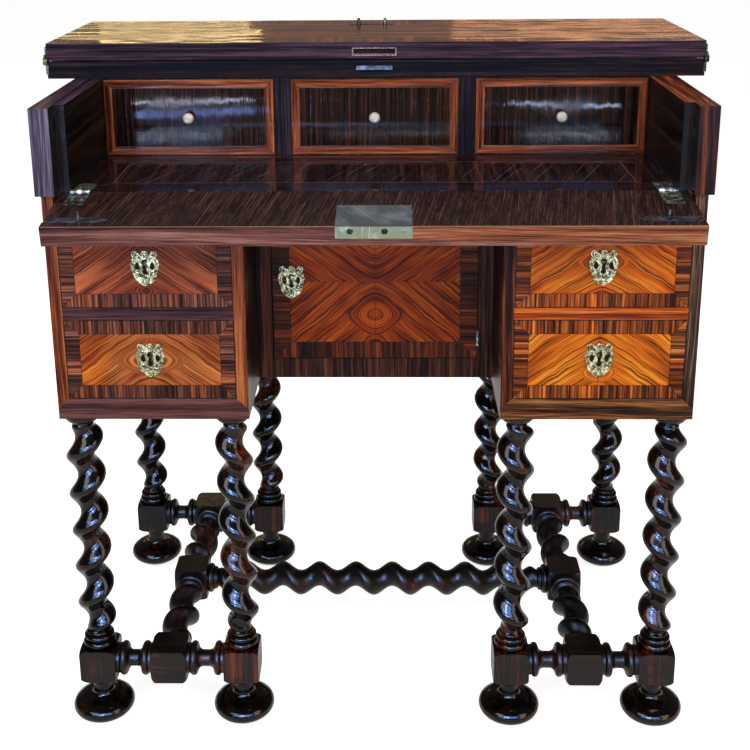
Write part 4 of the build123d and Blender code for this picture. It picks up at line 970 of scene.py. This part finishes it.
def scrolls(name, place, body, material):
    """Raised ribs on an escutcheon, whose face looks to -Y of the given place."""
    data = bpy.data.curves.new(name, "CURVE")
    data.dimensions = "3D"
    data.bevel_depth = RIB_RADIUS
    data.bevel_resolution = 2
    data.resolution_u = 5
    for points in SCROLLS:
        for side in (-1, 1):
            spline = data.splines.new("NURBS")
            spline.points.add(len(points) - 1)
            for point, (right, up) in zip(spline.points, points):
                point.co = (side * right / 1000, -RIB_RISE, up / 1000, 1)
            spline.order_u = 3
            spline.use_endpoint_u = True
    ribs = put(name, data)
    ribs.matrix_world = place
    data.materials.append(material)
    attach(ribs, body)


def add_scrolls(gilt):
    """Scrolls on the escutcheons of the large drawers, the door and the fall."""
    for name in DRAWER_LOOKS:
        low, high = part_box(name)
        middle = Vector(((low.x + high.x) / 2, FRONT, (low.z + high.z) / 2))
        scrolls(f"{name}_scrolls", Matrix.Translation(middle), name, gilt)
    low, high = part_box("door")
    middle = Vector((low.x + DOOR_LOCK_X, low.y, (low.z + high.z) / 2))
    scrolls("door_scrolls", Matrix.Translation(middle), "door", gilt)
    under = Matrix.Translation(FALL_ESCUTCHEON) @ Matrix.Rotation(math.radians(90), 4, "X")
    scrolls("fall_scrolls", FALL_PLACE @ under, "fall_front", gilt)


def screw(name, place, radius, body, material):
    """A low domed screw head whose face looks to -Y of the given place."""
    shape = bmesh.new()
    rings = []
    for reach, out in SCREW_RINGS:
        ring = []
        for n in range(SCREW_SIDES):
            turn = math.tau * n / SCREW_SIDES
            x, z = radius * reach * math.cos(turn), radius * reach * math.sin(turn)
            ring.append(shape.verts.new((x, -out, z)))
        rings.append(ring)
    for low, high in zip(rings, rings[1:]):
        for n in range(SCREW_SIDES):
            after = (n + 1) % SCREW_SIDES
            shape.faces.new((low[n], low[after], high[after], high[n]))
    shape.faces.new(rings[-1])
    bmesh.ops.recalc_face_normals(shape, faces=shape.faces)
    mesh = bpy.data.meshes.new(name)
    shape.to_mesh(mesh)
    shape.free()
    head = put(name, mesh)
    head.matrix_world = place @ Matrix.Rotation(rng.uniform(0, math.pi), 4, "Y")
    mesh.materials.append(material)
    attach(head, body)


def screw_brass():
    """Old brass with a screwdriver slot across its middle, pressed in by the bump and darkened with painted
    shade.
    """
    graph = Surface("screw_brass")
    patina = graph.noise(graph.place, 900.0)
    color = graph.tones(patina, (0.36, 0.62), [(40, 36, 24), (170, 160, 122)])
    # painted shade: the slot is a dent in the bump, and its dark colour stands in for the shade inside it
    slot = graph.below(abs(graph.z), 0.00022, 0.00034)
    color = graph.stain(color, slot * 0.9, (10, 8, 6))
    return graph.finish(color, roughness=0.36, metal=1.0, height=patina - slot * 2.0, depth=0.0002)


def add_screws():
    """Screws in the lock's selvedge, the fall's hinges and the leaves' hinges."""
    brass = screw_brass()
    for number, x in enumerate(SELVEDGE_SCREW_X):
        place = FALL_PLACE @ Matrix.Translation((x, -FALL_LENGTH, SELVEDGE_SCREW_Z))
        screw(f"selvedge_screw_{number}", place, SELVEDGE_SCREW, "fall_front", brass)

    face_up = Matrix.Rotation(math.radians(-90), 4, "X")
    spots = [(side * FALL_HINGE_X + aside, out) for side in (-1, 1) for aside, out in FALL_HINGE_SCREWS]
    for number, (x, y) in enumerate(spots):
        board_place = Matrix.Translation(FALL_AXIS + Vector((x, y, 0))) @ face_up
        screw(f"board_hinge_screw_{number}", board_place, FALL_SCREW, "carcass", brass)
        fall_at = FALL_PLACE @ Matrix.Translation((x, -y, 0)) @ face_up
        screw(f"fall_hinge_screw_{number}", fall_at, FALL_SCREW, "fall_front", brass)

    plate = ("plate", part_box("rear_leaf")[1].x + LEAF_PLATE_PROUD, -LEAF_HINGE_SCREW_Z, "carcass")
    arm = ("arm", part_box("leaf_hinge_arms")[1].x, LEAF_HINGE_SCREW_Z, "front_leaf")
    for number, (side, y) in enumerate((side, y) for side in (-1, 1) for y in LEAF_HINGE_SCREW_Y):
        facing = Matrix.Rotation(math.radians(90 * side), 4, "Z")
        for kind, x, rise, body in (plate, arm):
            place = Matrix.Translation((side * x, PIVOT.y + y, PIVOT.z + rise)) @ facing
            screw(f"{kind}_screw_{number}", place, LEAF_SCREW, body, brass)


bpy.context.scene.view_settings.view_transform = "Standard"
make_camera()
make_lights()
make_world()
make_floor()

paint_base()
drawer_oak = straight("drawer_oak", "oak", "y", 3.0, 0.6, wave=0.2)
paint_large_drawers(drawer_oak)
paint_small_drawers(drawer_oak)
paint_door()
paint_pedestals()
paint_carcass()
paint_writing_board()
paint_end_boards()
paint_top()
paint_fall()
soften_boards()

gilt = cast_gilt()
paint_fall_lock(gilt)
paint_metal(gilt)
paint_knobs()
add_scrolls(gilt)
add_screws()
